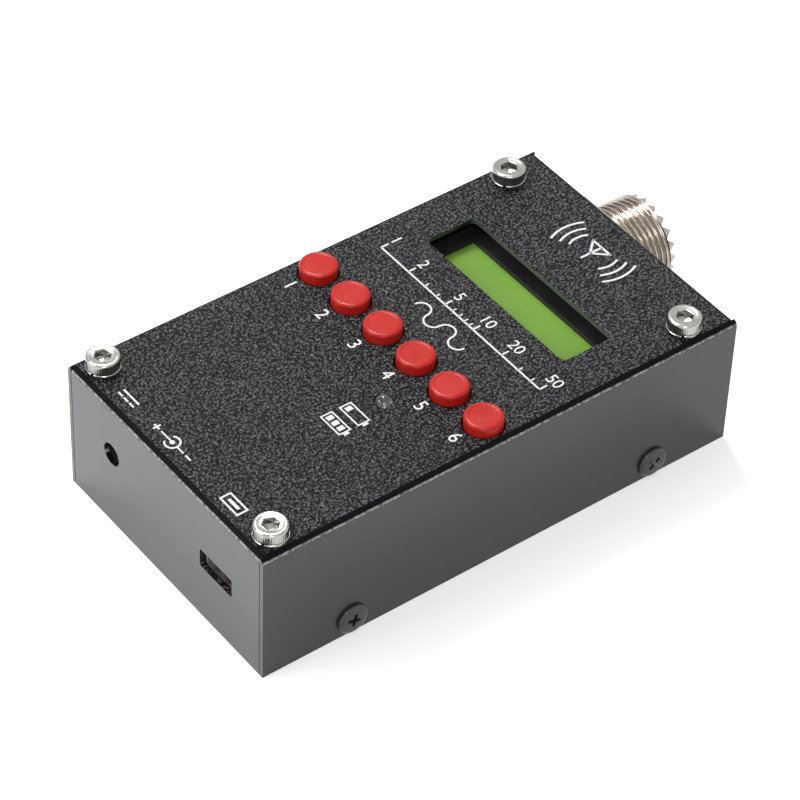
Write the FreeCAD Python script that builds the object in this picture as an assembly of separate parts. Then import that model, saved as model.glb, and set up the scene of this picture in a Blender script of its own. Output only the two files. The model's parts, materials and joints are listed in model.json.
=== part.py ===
"""Hand-held antenna analyzer in a folded sheet metal case.

Millimetres. The origin is the centre of the case's underside, +Z is up through the
front panel, and +Y points at the end that carries the coaxial socket.
"""
import FreeCAD, Part
import math
import os

Vector = FreeCAD.Vector

# Case
CASE_LENGTH = 92.0
CASE_WIDTH = 52.4
CASE_HEIGHT = 25.2
SHEET = 0.8
BEND_INNER = 0.4
SEAM_GAP = 0.15
COVER_GAP = 0.1
BOTTOM_FLANGE_HEIGHT = 6.0

# Low-head screws of the front panel (M3), their washers, and the spacers with their studs and nuts
THREAD_RADIUS = 1.45
TAPPED_RADIUS = 1.5
CLEARANCE_RADIUS = 1.65
SCREW_SIDE_INSET = 3.8
SCREW_DC_END_INSET = 4.1
SCREW_COAX_END_INSET = 8.0
CAP_HEAD_RADIUS = 2.75
CAP_HEAD_HEIGHT = 2.0
CAP_HEAD_ROUND = 0.3
CAP_SOCKET_FLATS = 2.5
CAP_SOCKET_DEPTH = 1.3
CAP_SCREW_LENGTH = 10.0
WASHER_RADIUS = 2.85
WASHER_THICKNESS = 0.6
WASHER_SPLIT = 0.45
SPACER_RADIUS = 2.2
SPACER_TAP_DEPTH = 11.0
STUD_RADIUS = 1.2
STUD_GAP = 0.05
STUD_HOLE_GAP = 0.15
NUT_FLATS = 5.0
NUT_HEIGHT = 2.0
STUD_PAST_NUT = 0.4

# Side screws
SIDE_SCREW_INSET_DC_END = 16.7
SIDE_SCREW_INSET_COAX_END = 15.6
SIDE_SCREW_HEIGHT = 3.1
SIDE_HEAD_RADIUS = 2.75
SIDE_HEAD_HEIGHT = 0.85
SIDE_HEAD_ROUND = 0.4
SIDE_SCREW_LENGTH = 4.0
CROSS_LENGTH = 2.5
CROSS_WIDTH = 0.6
CROSS_DEPTH = 1.1

# Main circuit board
BOARD_TOP = 10.6
BOARD_THICKNESS = 1.6
BOARD_SIDE_GAP = 0.5
BOARD_END_GAP = 0.5
BOARD_CORNER = 1.0
COAX_NOTCH_GAP = 0.8

# Push buttons
BUTTON_COUNT = 6
BUTTON_SIDE_INSET = 4.7
BUTTON_ROW_INSET = 47.36
BUTTON_RADIUS = 3.2
BUTTON_HOLE_GAP = 0.3
BUTTON_PROUD = 1.75
BUTTON_LENGTH = 7.2
BUTTON_ROUND = 0.45
BUTTON_DISH_RADIUS = 2.35
BUTTON_DISH_DEPTH = 0.12
BUTTON_TRAVEL = 0.3
STEM_RADIUS = 1.7
STEM_GAP = 0.06
STEM_GRIP = 5.0
SWITCH_SIDE = 6.0
SWITCH_HEIGHT = 3.3
SWITCH_FLOOR = 0.8
SWITCH_PLATE = 0.25
SWITCH_LEG_WIDTH = 0.7
SWITCH_LEG_REACH = 1.1
SWITCH_LEG_THICKNESS = 0.2
SWITCH_LEG_SPACING = 4.5

# Display
WINDOW_SIDE_INSET = 8.5
WINDOW_CENTRE_INSET = 23.7
WINDOW_HEIGHT = 9.8
WINDOW_CORNER = 1.2
BEZEL_DEPTH = 4.0
BEZEL_SHEET = 0.4
BEZEL_MARGIN = 2.2
BEZEL_HEIGHT = 15.6
VIEW_BORDER = 1.0
VIEW_HEIGHT = 8.5
GLASS_THICKNESS = 2.0
GLASS_GAP = 0.4
LIGHT_THICKNESS = 2.0
DISPLAY_BOARD_THICKNESS = 1.2
DISPLAY_BOARD_SIDE_INSET = 2.2
DISPLAY_BOARD_HEIGHT = 20.0
DISPLAY_SPACER_RADIUS = 1.7
DISPLAY_SCREW_RADIUS = 0.95
DISPLAY_HOLE_RADIUS = 1.05
DISPLAY_SCREW_HEAD = 1.1
DISPLAY_SCREW_EDGE = 2.0
HEADER_PINS = 14
HEADER_PITCH = 2.54
HEADER_WIDTH = 2.5
PIN_RADIUS = 0.32
PIN_HOLE_RADIUS = 0.42
PIN_PROUD = 0.6

# Charge lamp
LAMP_SIDE_INSET = 17.5
LAMP_BUTTON_SPACING = 9.54
LAMP_RADIUS = 1.5
LAMP_PROUD = 0.5
LAMP_LENGTH = 5.3
LAMP_FLANGE_RADIUS = 1.9
LAMP_FLANGE_HEIGHT = 1.0
LAMP_HOLE_GAP = 0.12
LAMP_LEAD = 0.45
LAMP_LEAD_SPACING = 1.1
LAMP_TUBE_WALL = 0.5

# Power inlet
INLET_SIDE_INSET = 11.85
INLET_HEIGHT = 15.05
INLET_RADIUS = 2.05
INLET_DEPTH = 9.5
INLET_BODY_WIDTH = 7.6
INLET_BODY_LENGTH = 12.0
INLET_WALL = 2.1
INLET_PIN_RADIUS = 0.65
INLET_PIN_RECESS = 1.5
END_FIT = 0.15

# Data socket
USB_SIDE_INSET = 12.3
USB_CUT_WIDTH = 8.4
USB_CUT_HEIGHT = 3.6
USB_CORNER = 0.4
USB_SHELL_WIDTH = 7.7
USB_SHELL_HEIGHT = 3.8
USB_SHELL_LENGTH = 9.2
USB_SHELL_SHEET = 0.35
USB_TONGUE_WIDTH = 5.0
USB_TONGUE_HEIGHT = 1.1
USB_TONGUE_RECESS = 1.2
USB_BACK = 2.4
USB_CONTACTS = 5
USB_CONTACT_PITCH = 0.8
USB_CONTACT_WIDTH = 0.4
USB_CONTACT_THICKNESS = 0.15

# Coaxial socket (5/8-24 thread)
COAX_SIDE_INSET = 17.3
COAX_ABOVE_MIDDLE = 0.05
COAX_RADIUS = 7.94
COAX_MEAN_RADIUS = 7.6
COAX_THREAD_START_GAP = 0.3
COAX_PITCH = 1.058
COAX_THREAD_DEPTH = 0.6
COAX_CREST = 0.3
COAX_RIM = 10.3
COAX_TEETH = 20
COAX_TOOTH_HEIGHT = 1.3
COAX_NOTCH_SHARE = 0.8
COAX_TOOTH_PHASE = 11.4
COAX_BORE = 6.1
COAX_FACE_RECESS = 3.0
COAX_FLANGE_FLATS = 18.0
COAX_FLANGE_THICKNESS = 2.5
COAX_FLANGE_TURN_DEGREES = 30
COAX_HOLE_GAP = 0.1
COAX_NUT_FLATS = 19.0
COAX_NUT_THICKNESS = 2.0
COAX_NUT_GAP = 0.05
COAX_WASHER_RADIUS = 9.6
COAX_WASHER_THICKNESS = 0.6
COAX_TAG_THICKNESS = 0.5
COAX_TAG_RADIUS = 10.0
COAX_TAG_WIDTH = 1.6
COAX_TAG_LENGTH = 7.0
COAX_CONTACT_RADIUS = 2.75
COAX_CONTACT_BORE = 2.0
COAX_CONTACT_DEPTH = 9.0
COAX_CONTACT_LENGTH = 11.0
COAX_SLIT = 0.4
COAX_TAIL_RADIUS = 1.2
COAX_TAIL_LENGTH = 5.0
COAX_INSULATOR_REAR = 1.2

# Power switch
POWER_SIDE_INSET = 14.2
POWER_WIDTH = 9.0
POWER_DEPTH = 4.0
POWER_HEIGHT = 3.8
POWER_WALL = 0.6
POWER_SHEET = 0.3
POWER_KNOB = 2.0
POWER_KNOB_PROUD = 1.8
POWER_TRAVEL = 2.0
POWER_SLIDER_WIDTH = 4.4
POWER_SLIDER_DEPTH = 1.2
POWER_PLAY = 0.1
POWER_CUT_GAP = 0.5

# Battery
CELL_COUNT = 3
CELL_SIDE_INSET = 4.7
CELL_THICKNESS = 5.0
CELL_GAP = 0.8
CELL_END_GAP = 1.0
CELL_CORNER = 1.2
PAD_THICKNESS = 1.0
PAD_INSET = 3.0
GUARD_THICKNESS = 0.8
GUARD_WIDTH = 36.0
GUARD_MARGIN = 0.4
BATTERY_PLUG_SIDE_INSET = 12.2
BATTERY_PLUG_WIDTH = 6.0
BATTERY_PLUG_LENGTH = 3.6
BATTERY_HEADER_LENGTH = 3.0
BATTERY_HEADER_HEIGHT = 4.2
BATTERY_LEAD_RADIUS = 0.6
BATTERY_LEAD_SPACING = 2.0
BATTERY_REAR_GAP = 2.6

# Parts soldered to the main board
PROCESSOR_SHIFT = 2.0
PROCESSOR_SIDE = 10.0
PROCESSOR_THICKNESS = 1.2
PROCESSOR_LEG_COUNT = 11
PROCESSOR_LEG_PITCH = 0.8
CHIP_LEG_WIDTH = 0.35
CHIP_LEG_REACH = 1.0
CHIP_LEG_THICKNESS = 0.2
CHIP_STANDOFF = 0.1
SYNTH_SHIFT = 3.5
SYNTH_LENGTH = 10.2
SYNTH_WIDTH = 5.3
SYNTH_LEG_COUNT = 14
SYNTH_LEG_PITCH = 0.65
CRYSTAL_LENGTH = 11.0
CRYSTAL_SHIFT = 1.5
CRYSTAL_WIDTH = 4.6
CRYSTAL_CLEARANCE = 1.4
CORE_OUTER = 4.6
CORE_INNER = 2.3
CORE_HEIGHT = 3.4
CORE_INSET = 3.0
CORE_BUTTON_GAP = 1.0
CORE_SPACING = 1.0
CAPACITOR_RADIUS = 3.1
CAPACITOR_HEIGHT = 7.4
CAPACITOR_BASE = 0.6
CAPACITOR_BASE_EDGE = 0.2
CAPACITOR_INLET_GAP = 1.0
INDUCTOR_SIDE = 7.0
INDUCTOR_HEIGHT = 3.0
INDUCTOR_SOCKET_GAP = 2.0

# Derived places
HALF_WIDTH = CASE_WIDTH / 2
HALF_LENGTH = CASE_LENGTH / 2
INNER_X = HALF_WIDTH - SHEET
INNER_Y = HALF_LENGTH - SHEET
PANEL_BOTTOM = CASE_HEIGHT - SHEET
BEND_OUTER = SHEET + BEND_INNER
BOARD_BOTTOM = BOARD_TOP - BOARD_THICKNESS
BOARD_X = INNER_X - BOARD_SIDE_GAP
BOARD_Y = INNER_Y - BOARD_END_GAP
SCREW_X = HALF_WIDTH - SCREW_SIDE_INSET
SCREW_Y_DC = -HALF_LENGTH + SCREW_DC_END_INSET
SCREW_Y_COAX = HALF_LENGTH - SCREW_COAX_END_INSET
SCREW_SPOTS = [(x, y) for y in (SCREW_Y_DC, SCREW_Y_COAX) for x in (-SCREW_X, SCREW_X)]
SIDE_SCREW_YS = (-HALF_LENGTH + SIDE_SCREW_INSET_DC_END, HALF_LENGTH - SIDE_SCREW_INSET_COAX_END)
STUD_BOTTOM = BOARD_BOTTOM - NUT_HEIGHT - STUD_PAST_NUT
BUTTON_Y = HALF_LENGTH - BUTTON_ROW_INSET
BUTTON_PITCH = (CASE_WIDTH - 2 * BUTTON_SIDE_INSET) / (BUTTON_COUNT - 1)
BUTTON_XS = [BUTTON_SIDE_INSET - HALF_WIDTH + i * BUTTON_PITCH for i in range(BUTTON_COUNT)]
BUTTON_TOP = CASE_HEIGHT + BUTTON_PROUD
BUTTON_BOTTOM = BUTTON_TOP - BUTTON_LENGTH
STEM_TOP = BUTTON_BOTTOM + STEM_GRIP
STEM_BOTTOM = BOARD_TOP + SWITCH_FLOOR + BUTTON_TRAVEL + STEM_GAP
SWITCH_TOP = BOARD_TOP + SWITCH_HEIGHT
WINDOW_X = HALF_WIDTH - WINDOW_SIDE_INSET
WINDOW_Y = HALF_LENGTH - WINDOW_CENTRE_INSET
BEZEL_TOP = CASE_HEIGHT - BEZEL_DEPTH
BEZEL_X = WINDOW_X + BEZEL_MARGIN
GLASS_TOP = BEZEL_TOP - BEZEL_SHEET
GLASS_BOTTOM = GLASS_TOP - GLASS_THICKNESS
GLASS_X = BEZEL_X - BEZEL_SHEET - GLASS_GAP
GLASS_Y = BEZEL_HEIGHT / 2 - BEZEL_SHEET - GLASS_GAP
DISPLAY_TOP = GLASS_BOTTOM - LIGHT_THICKNESS
DISPLAY_BOTTOM = DISPLAY_TOP - DISPLAY_BOARD_THICKNESS
DISPLAY_X = HALF_WIDTH - DISPLAY_BOARD_SIDE_INSET
DISPLAY_SCREW_X = DISPLAY_X - DISPLAY_SCREW_EDGE
DISPLAY_SCREW_REACH = DISPLAY_BOARD_HEIGHT / 2 - DISPLAY_SCREW_EDGE
DISPLAY_SPOTS = [
    (side * DISPLAY_SCREW_X, WINDOW_Y + end * DISPLAY_SCREW_REACH) for side in (-1, 1) for end in (-1, 1)
]
HEADER_Y = WINDOW_Y + DISPLAY_BOARD_HEIGHT / 2 - HEADER_WIDTH / 2 - (DISPLAY_BOARD_HEIGHT - BEZEL_HEIGHT) / 8
HEADER_XS = [(i - (HEADER_PINS - 1) / 2) * HEADER_PITCH for i in range(HEADER_PINS)]
LAMP_X = HALF_WIDTH - LAMP_SIDE_INSET
LAMP_Y = BUTTON_Y - LAMP_BUTTON_SPACING
LAMP_TOP = CASE_HEIGHT + LAMP_PROUD
LAMP_BOTTOM = LAMP_TOP - LAMP_LENGTH
INLET_X = INLET_SIDE_INSET - HALF_WIDTH
USB_X = HALF_WIDTH - USB_SIDE_INSET
USB_Z = BOARD_TOP + USB_SHELL_HEIGHT / 2
DC_END_SEAT = -INNER_Y + END_FIT
COAX_X = COAX_SIDE_INSET - HALF_WIDTH
COAX_HEIGHT = CASE_HEIGHT / 2 + COAX_ABOVE_MIDDLE
COAX_NUT_FACE = HALF_LENGTH + COAX_NUT_THICKNESS
COAX_THREAD_START = COAX_NUT_FACE + COAX_THREAD_START_GAP
COAX_RIM_Y = HALF_LENGTH + COAX_RIM
COAX_FACE_Y = COAX_RIM_Y - COAX_FACE_RECESS
COAX_WASHER_BACK = INNER_Y - COAX_WASHER_THICKNESS
COAX_TAG_BACK = COAX_WASHER_BACK - COAX_TAG_THICKNESS
COAX_FLANGE_BACK = COAX_TAG_BACK - COAX_FLANGE_THICKNESS
COAX_NOTCH_Y = COAX_FLANGE_BACK - COAX_INSULATOR_REAR - COAX_NOTCH_GAP
COAX_NOTCH_HALF = COAX_FLANGE_FLATS / 2 + COAX_NOTCH_GAP
POWER_X = HALF_WIDTH - POWER_SIDE_INSET
POWER_FRONT = INNER_Y - END_FIT
POWER_KNOB_X = POWER_X - POWER_TRAVEL / 2
POWER_KNOB_Z = BOARD_TOP + (POWER_HEIGHT - POWER_SHEET) / 2
PAD_TOP = SHEET + PAD_THICKNESS
CELL_X = HALF_WIDTH - CELL_SIDE_INSET
CELL_START = SCREW_Y_DC + NUT_FLATS / 2 + CELL_END_GAP
CELL_STOP = SCREW_Y_COAX - NUT_FLATS / 2 - CELL_END_GAP - GUARD_THICKNESS
CELL_LENGTH = (CELL_STOP - CELL_START - (CELL_COUNT - 1) * CELL_GAP) / CELL_COUNT
GUARD_FACE = CELL_STOP + GUARD_THICKNESS
BATTERY_PLUG_X = HALF_WIDTH - BATTERY_PLUG_SIDE_INSET
BATTERY_HEADER_STOP = BOARD_Y - BATTERY_REAR_GAP
BATTERY_HEADER_START = BATTERY_HEADER_STOP - BATTERY_HEADER_LENGTH
BATTERY_PLUG_START = BATTERY_HEADER_START - BATTERY_PLUG_LENGTH
BATTERY_LEAD_Z = BOARD_BOTTOM - BATTERY_HEADER_HEIGHT / 2

# Places of the soldered parts, from the pieces that they stand between
PROCESSOR_X = 0.0
PROCESSOR_Y = WINDOW_Y - PROCESSOR_SHIFT
SYNTH_X = DISPLAY_X / 2 + SYNTH_SHIFT
SYNTH_Y = PROCESSOR_Y
CRYSTAL_X = -DISPLAY_X / 2 - CRYSTAL_SHIFT
CRYSTAL_Y = PROCESSOR_Y
CRYSTAL_HEIGHT = DISPLAY_BOTTOM - BOARD_TOP - CRYSTAL_CLEARANCE
CORE_Y = BUTTON_Y - SWITCH_SIDE / 2 - SWITCH_LEG_REACH - CORE_BUTTON_GAP - CORE_OUTER
CORE_XS = (-CORE_OUTER - CORE_INSET, -3 * CORE_OUTER - CORE_INSET - CORE_SPACING)
CAPACITOR_Y = DC_END_SEAT + INLET_BODY_LENGTH + CAPACITOR_RADIUS + CAPACITOR_INLET_GAP
CAPACITOR_XS = (INLET_X, INLET_X + 3 * CAPACITOR_RADIUS)
INDUCTOR_X = USB_X
INDUCTOR_Y = DC_END_SEAT + USB_SHELL_LENGTH + INDUCTOR_SIDE / 2 + INDUCTOR_SOCKET_GAP

X_AXIS = Vector(1, 0, 0)
Y_AXIS = Vector(0, 1, 0)
Z_AXIS = Vector(0, 0, 1)


def block(x0, x1, y0, y1, z0, z1):
    return Part.makeBox(x1 - x0, y1 - y0, z1 - z0, Vector(x0, y0, z0))


def centred_block(x, y, z0, width, depth, height):
    return block(x - width / 2, x + width / 2, y - depth / 2, y + depth / 2, z0, z0 + height)


def rod(radius, x, y, z0, z1):
    """Upright cylinder from z0 to z1."""
    return Part.makeCylinder(radius, z1 - z0, Vector(x, y, z0), Z_AXIS)


def rod_y(radius, x, z, y0, y1):
    """Cylinder along the length of the case from y0 to y1."""
    return Part.makeCylinder(radius, y1 - y0, Vector(x, y0, z), Y_AXIS)


def hexagon(flats, turn=0.0):
    """Corners of a hexagon with the given distance across flats."""
    reach = flats / math.sqrt(3)
    angles = [math.radians(turn + 60 * i) for i in range(7)]
    return [(reach * math.cos(a), reach * math.sin(a)) for a in angles]


def upright_hexagon(flats, x, y, z0, z1):
    """Hexagonal prism whose flats face +Y and -Y."""
    points = [Vector(x + u, y + v, z0) for u, v in hexagon(flats)]
    return Part.Face(Part.makePolygon(points)).extrude(Vector(0, 0, z1 - z0))


def hexagon_y(flats, x, z, y0, y1, turn=0.0):
    points = [Vector(x + u, y0, z + v) for u, v in hexagon(flats, turn)]
    return Part.Face(Part.makePolygon(points)).extrude(Vector(0, y1 - y0, 0))


def rounded_block(x0, x1, y0, y1, z0, z1, radius):
    """Block with its four upright edges rounded."""
    solid = block(x0, x1, y0, y1, z0, z1)
    upright = [e for e in solid.Edges if abs(e.tangentAt(e.FirstParameter).z) > 0.99]
    return solid.makeFillet(radius, upright)


def edge_at_height(solid, z, radius):
    """Circular edges of the given radius that lie at height z."""
    found = []
    for edge in solid.Edges:
        curve = edge.Curve
        if not isinstance(curve, Part.Circle):
            continue
        if abs(curve.Radius - radius) < 1e-6 and abs(curve.Center.z - z) < 1e-6:
            found.append(edge)
    return found


def cut_all(solid, tools):
    return solid.cut(Part.makeCompound(tools))


def join(solids):
    return solids[0].fuse(solids[1:]).removeSplitter()


def save(name, pieces):
    """Write one node; a list becomes a group of separate solids."""
    shape = Part.makeCompound(pieces) if isinstance(pieces, list) else pieces
    shape.exportStep("parts/" + name + ".step")


def bent_profile(half, top, sheet, bend, flip):
    """Section of a channel, open side down (flip=1) or up (flip=-1), as (across, up) edges."""
    outer = sheet + bend
    low = 0.0
    peak = top
    diag = math.sqrt(0.5)

    def at(u, v):
        return Vector(u, 0, v if flip > 0 else top - v)

    inner = half - sheet
    edges = [
        Part.LineSegment(at(-half, low), at(-half, peak - outer)),
        Part.Arc(
            at(-half, peak - outer),
            at(-half + outer - outer * diag, peak - outer + outer * diag),
            at(-half + outer, peak),
        ),
        Part.LineSegment(at(-half + outer, peak), at(half - outer, peak)),
        Part.Arc(
            at(half - outer, peak),
            at(half - outer + outer * diag, peak - outer + outer * diag),
            at(half, peak - outer),
        ),
        Part.LineSegment(at(half, peak - outer), at(half, low)),
        Part.LineSegment(at(half, low), at(inner, low)),
        Part.LineSegment(at(inner, low), at(inner, peak - outer)),
        Part.Arc(
            at(inner, peak - outer),
            at(inner - bend + bend * diag, peak - outer + bend * diag),
            at(inner - bend, peak - sheet),
        ),
        Part.LineSegment(at(inner - bend, peak - sheet), at(bend - inner, peak - sheet)),
        Part.Arc(
            at(bend - inner, peak - sheet),
            at(bend - inner - bend * diag, peak - outer + bend * diag),
            at(-inner, peak - outer),
        ),
        Part.LineSegment(at(-inner, peak - outer), at(-inner, low)),
        Part.LineSegment(at(-inner, low), at(-half, low)),
    ]
    return Part.Wire([e.toShape() for e in edges])


def channel(half, top, length, flip):
    """Bent sheet channel that runs along Y."""
    wire = bent_profile(half, top, SHEET, BEND_INNER, flip)
    solid = Part.Face(wire).extrude(Vector(0, length, 0))
    solid.translate(Vector(0, -length / 2, 0))
    return solid


def end_channel():
    """The same section turned to run across the case: it forms both end flaps."""
    across = 2 * (INNER_X - SEAM_GAP)
    wire = bent_profile(HALF_LENGTH, CASE_HEIGHT, SHEET, BEND_INNER, 1)
    solid = Part.Face(wire).extrude(Vector(0, across, 0))
    solid.translate(Vector(0, -across / 2, 0))
    solid.rotate(Vector(0, 0, 0), Z_AXIS, 90)
    return solid


def power_slot(gap, y0, y1):
    """Slot that the switch knob runs in, with the given gap round it."""
    reach = POWER_TRAVEL / 2 + POWER_KNOB / 2 + gap
    height = POWER_KNOB / 2 + gap
    return block(POWER_X - reach, POWER_X + reach, y0, y1, POWER_KNOB_Z - height, POWER_KNOB_Z + height)


def top_cover():
    """Front panel with its four flaps, folded from one sheet."""
    shell = channel(HALF_WIDTH, CASE_HEIGHT, CASE_LENGTH, 1)
    overrun = 1.0
    roof_low = CASE_HEIGHT - BEND_OUTER - overrun
    for end in (-1, 1):
        y0, y1 = sorted((end * (HALF_LENGTH - BEND_OUTER), end * (HALF_LENGTH + overrun)))
        shell = shell.cut(block(-INNER_X, INNER_X, y0, y1, roof_low, CASE_HEIGHT + overrun))
    shell = join([shell, end_channel()])
    high = CASE_HEIGHT + overrun
    low = PANEL_BOTTOM - overrun
    tools = [rod(CLEARANCE_RADIUS, x, y, low, high) for x, y in SCREW_SPOTS]
    tools += [rod(BUTTON_RADIUS + BUTTON_HOLE_GAP, x, BUTTON_Y, low, high) for x in BUTTON_XS]
    tools.append(rod(LAMP_RADIUS + LAMP_HOLE_GAP, LAMP_X, LAMP_Y, low, high))
    window_low = WINDOW_Y - WINDOW_HEIGHT / 2
    window_high = WINDOW_Y + WINDOW_HEIGHT / 2
    tools.append(rounded_block(-WINDOW_X, WINDOW_X, window_low, window_high, low, high, WINDOW_CORNER))
    outside_dc = -HALF_LENGTH - overrun
    inside_dc = -INNER_Y + overrun
    tools.append(rod_y(INLET_RADIUS, INLET_X, INLET_HEIGHT, outside_dc, inside_dc))
    usb = centred_block(USB_X, 0, USB_Z - USB_CUT_HEIGHT / 2, USB_CUT_WIDTH, 2, USB_CUT_HEIGHT)
    lengthwise = [e for e in usb.Edges if abs(e.tangentAt(e.FirstParameter).y) > 0.99]
    usb = usb.makeFillet(USB_CORNER, lengthwise)
    usb.translate(Vector(0, -HALF_LENGTH + SHEET / 2, 0))
    tools.append(usb)
    tools.append(
        rod_y(COAX_RADIUS + COAX_HOLE_GAP, COAX_X, COAX_HEIGHT, INNER_Y - overrun, HALF_LENGTH + overrun)
    )
    tools.append(power_slot(POWER_CUT_GAP, INNER_Y - overrun, HALF_LENGTH + overrun))
    for y in SIDE_SCREW_YS:
        length = CASE_WIDTH + 2 * overrun
        start = Vector(-length / 2, y, SIDE_SCREW_HEIGHT)
        tools.append(Part.makeCylinder(CLEARANCE_RADIUS, length, start, X_AXIS))
    return cut_all(shell, tools)


def bottom_cover():
    """Floor plate with a flange up each long side, tapped for the side screws."""
    half = INNER_X - COVER_GAP
    tray = channel(half, BOTTOM_FLANGE_HEIGHT, 2 * (INNER_Y - COVER_GAP), -1)
    tools = []
    for y in SIDE_SCREW_YS:
        start = Vector(-HALF_WIDTH, y, SIDE_SCREW_HEIGHT)
        tools.append(Part.makeCylinder(TAPPED_RADIUS, CASE_WIDTH, start, X_AXIS))
    return cut_all(tray, tools)


def case_screw(x, y):
    """Hex socket cap screw that stands on its split washer."""
    seat = CASE_HEIGHT + WASHER_THICKNESS
    top = seat + CAP_HEAD_HEIGHT
    head = rod(CAP_HEAD_RADIUS, x, y, seat, top)
    head = head.makeFillet(CAP_HEAD_ROUND, edge_at_height(head, top, CAP_HEAD_RADIUS))
    solid = join([head, rod(THREAD_RADIUS, x, y, seat - CAP_SCREW_LENGTH, seat)])
    return solid.cut(upright_hexagon(CAP_SOCKET_FLATS, x, y, top - CAP_SOCKET_DEPTH, top + 1))


def lock_washer(x, y):
    """Split spring washer with a slanted gap."""
    low = CASE_HEIGHT
    high = low + WASHER_THICKNESS
    ring = rod(WASHER_RADIUS, x, y, low, high).cut(rod(CLEARANCE_RADIUS, x, y, low - 1, high + 1))
    reach = WASHER_RADIUS + 1
    split = block(x, x + reach, y - WASHER_SPLIT / 2, y + WASHER_SPLIT / 2, low - 1, high + 1)
    split.rotate(Vector(x, y, (low + high) / 2), X_AXIS, 25)
    split.rotate(Vector(x, y, low), Z_AXIS, -70)
    return ring.cut(split)


def spacer(x, y):
    """Round spacer from the main board up to the panel, with a stud through the board."""
    solid = rod(SPACER_RADIUS, x, y, BOARD_TOP, PANEL_BOTTOM)
    solid = solid.cut(rod(TAPPED_RADIUS, x, y, PANEL_BOTTOM - SPACER_TAP_DEPTH, PANEL_BOTTOM + 1))
    return join([solid, rod(STUD_RADIUS, x, y, STUD_BOTTOM, BOARD_TOP)])


def board_nut(x, y):
    solid = upright_hexagon(NUT_FLATS, x, y, BOARD_BOTTOM - NUT_HEIGHT, BOARD_BOTTOM)
    return solid.cut(rod(STUD_RADIUS + STUD_GAP, x, y, BOARD_BOTTOM - NUT_HEIGHT - 1, BOARD_BOTTOM + 1))


def side_screw(side, y):
    """Low round head with a cross recess; side is the sign of X."""
    head = rod(SIDE_HEAD_RADIUS, 0, 0, 0, SIDE_HEAD_HEIGHT)
    head = head.makeFillet(SIDE_HEAD_ROUND, edge_at_height(head, SIDE_HEAD_HEIGHT, SIDE_HEAD_RADIUS))
    solid = join([head, rod(THREAD_RADIUS, 0, 0, -SIDE_SCREW_LENGTH, 0)])
    floor = SIDE_HEAD_HEIGHT - CROSS_DEPTH
    solid = cut_all(
        solid,
        [
            centred_block(0, 0, floor, CROSS_LENGTH, CROSS_WIDTH, CROSS_DEPTH + 1),
            centred_block(0, 0, floor, CROSS_WIDTH, CROSS_LENGTH, CROSS_DEPTH + 1),
        ],
    )
    solid.rotate(Vector(0, 0, 0), Z_AXIS, 20)
    solid.rotate(Vector(0, 0, 0), Y_AXIS, 90 * side)
    solid.translate(Vector(side * HALF_WIDTH, y, SIDE_SCREW_HEIGHT))
    return solid


def main_board():
    """Circuit board on the spacers, notched round the coaxial socket."""
    board = rounded_block(-BOARD_X, BOARD_X, -BOARD_Y, BOARD_Y, BOARD_BOTTOM, BOARD_TOP, BOARD_CORNER)
    low = BOARD_BOTTOM - 1
    high = BOARD_TOP + 1
    tools = [rod(STUD_RADIUS + STUD_HOLE_GAP, x, y, low, high) for x, y in SCREW_SPOTS]
    tools.append(
        block(COAX_X - COAX_NOTCH_HALF, COAX_X + COAX_NOTCH_HALF, COAX_NOTCH_Y, HALF_LENGTH, low, high)
    )
    tools += [rod(PIN_HOLE_RADIUS, x, HEADER_Y, low, high) for x in HEADER_XS]
    tools += [rod(DISPLAY_SCREW_RADIUS, x, y, low, high) for x, y in DISPLAY_SPOTS]
    tools += [rod(LAMP_LEAD, x, LAMP_Y, low, high) for x in lamp_lead_xs()]
    return cut_all(board, tools)


def lamp_lead_xs():
    return [LAMP_X + i * LAMP_LEAD_SPACING for i in (-1, 0, 1)]


def display_board():
    half = DISPLAY_BOARD_HEIGHT / 2
    board = block(-DISPLAY_X, DISPLAY_X, WINDOW_Y - half, WINDOW_Y + half, DISPLAY_BOTTOM, DISPLAY_TOP)
    low = DISPLAY_BOTTOM - 1
    high = DISPLAY_TOP + 1
    tools = [rod(DISPLAY_HOLE_RADIUS, x, y, low, high) for x, y in DISPLAY_SPOTS]
    tools += [rod(PIN_HOLE_RADIUS, x, HEADER_Y, low, high) for x in HEADER_XS]
    return cut_all(board, tools)


def display_spacer(x, y):
    tube = rod(DISPLAY_SPACER_RADIUS, x, y, BOARD_TOP, DISPLAY_BOTTOM)
    return tube.cut(rod(DISPLAY_HOLE_RADIUS, x, y, BOARD_TOP - 1, DISPLAY_BOTTOM + 1))


def display_screw(x, y):
    head = rod(DISPLAY_SPACER_RADIUS, x, y, DISPLAY_TOP, DISPLAY_TOP + DISPLAY_SCREW_HEAD)
    shank = rod(DISPLAY_SCREW_RADIUS, x, y, BOARD_BOTTOM, DISPLAY_TOP)
    slot = centred_block(x, y, DISPLAY_TOP + DISPLAY_SCREW_HEAD / 2, 4 * DISPLAY_SPACER_RADIUS, 0.5, 1)
    return join([head, shank]).cut(slot)


def display_bezel():
    """Black sheet frame over the glass, open at the viewing area."""
    half = BEZEL_HEIGHT / 2
    outer = block(-BEZEL_X, BEZEL_X, WINDOW_Y - half, WINDOW_Y + half, DISPLAY_TOP, BEZEL_TOP)
    inner_x = BEZEL_X - BEZEL_SHEET
    inner_y = half - BEZEL_SHEET
    hollow = block(-inner_x, inner_x, WINDOW_Y - inner_y, WINDOW_Y + inner_y, DISPLAY_TOP - 1, GLASS_TOP)
    view_x = WINDOW_X - VIEW_BORDER
    view_y = VIEW_HEIGHT / 2
    view = block(-view_x, view_x, WINDOW_Y - view_y, WINDOW_Y + view_y, GLASS_TOP - 1, BEZEL_TOP + 1)
    return cut_all(outer, [hollow, view])


def display_slab(z0, z1):
    return block(-GLASS_X, GLASS_X, WINDOW_Y - GLASS_Y, WINDOW_Y + GLASS_Y, z0, z1)


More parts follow.
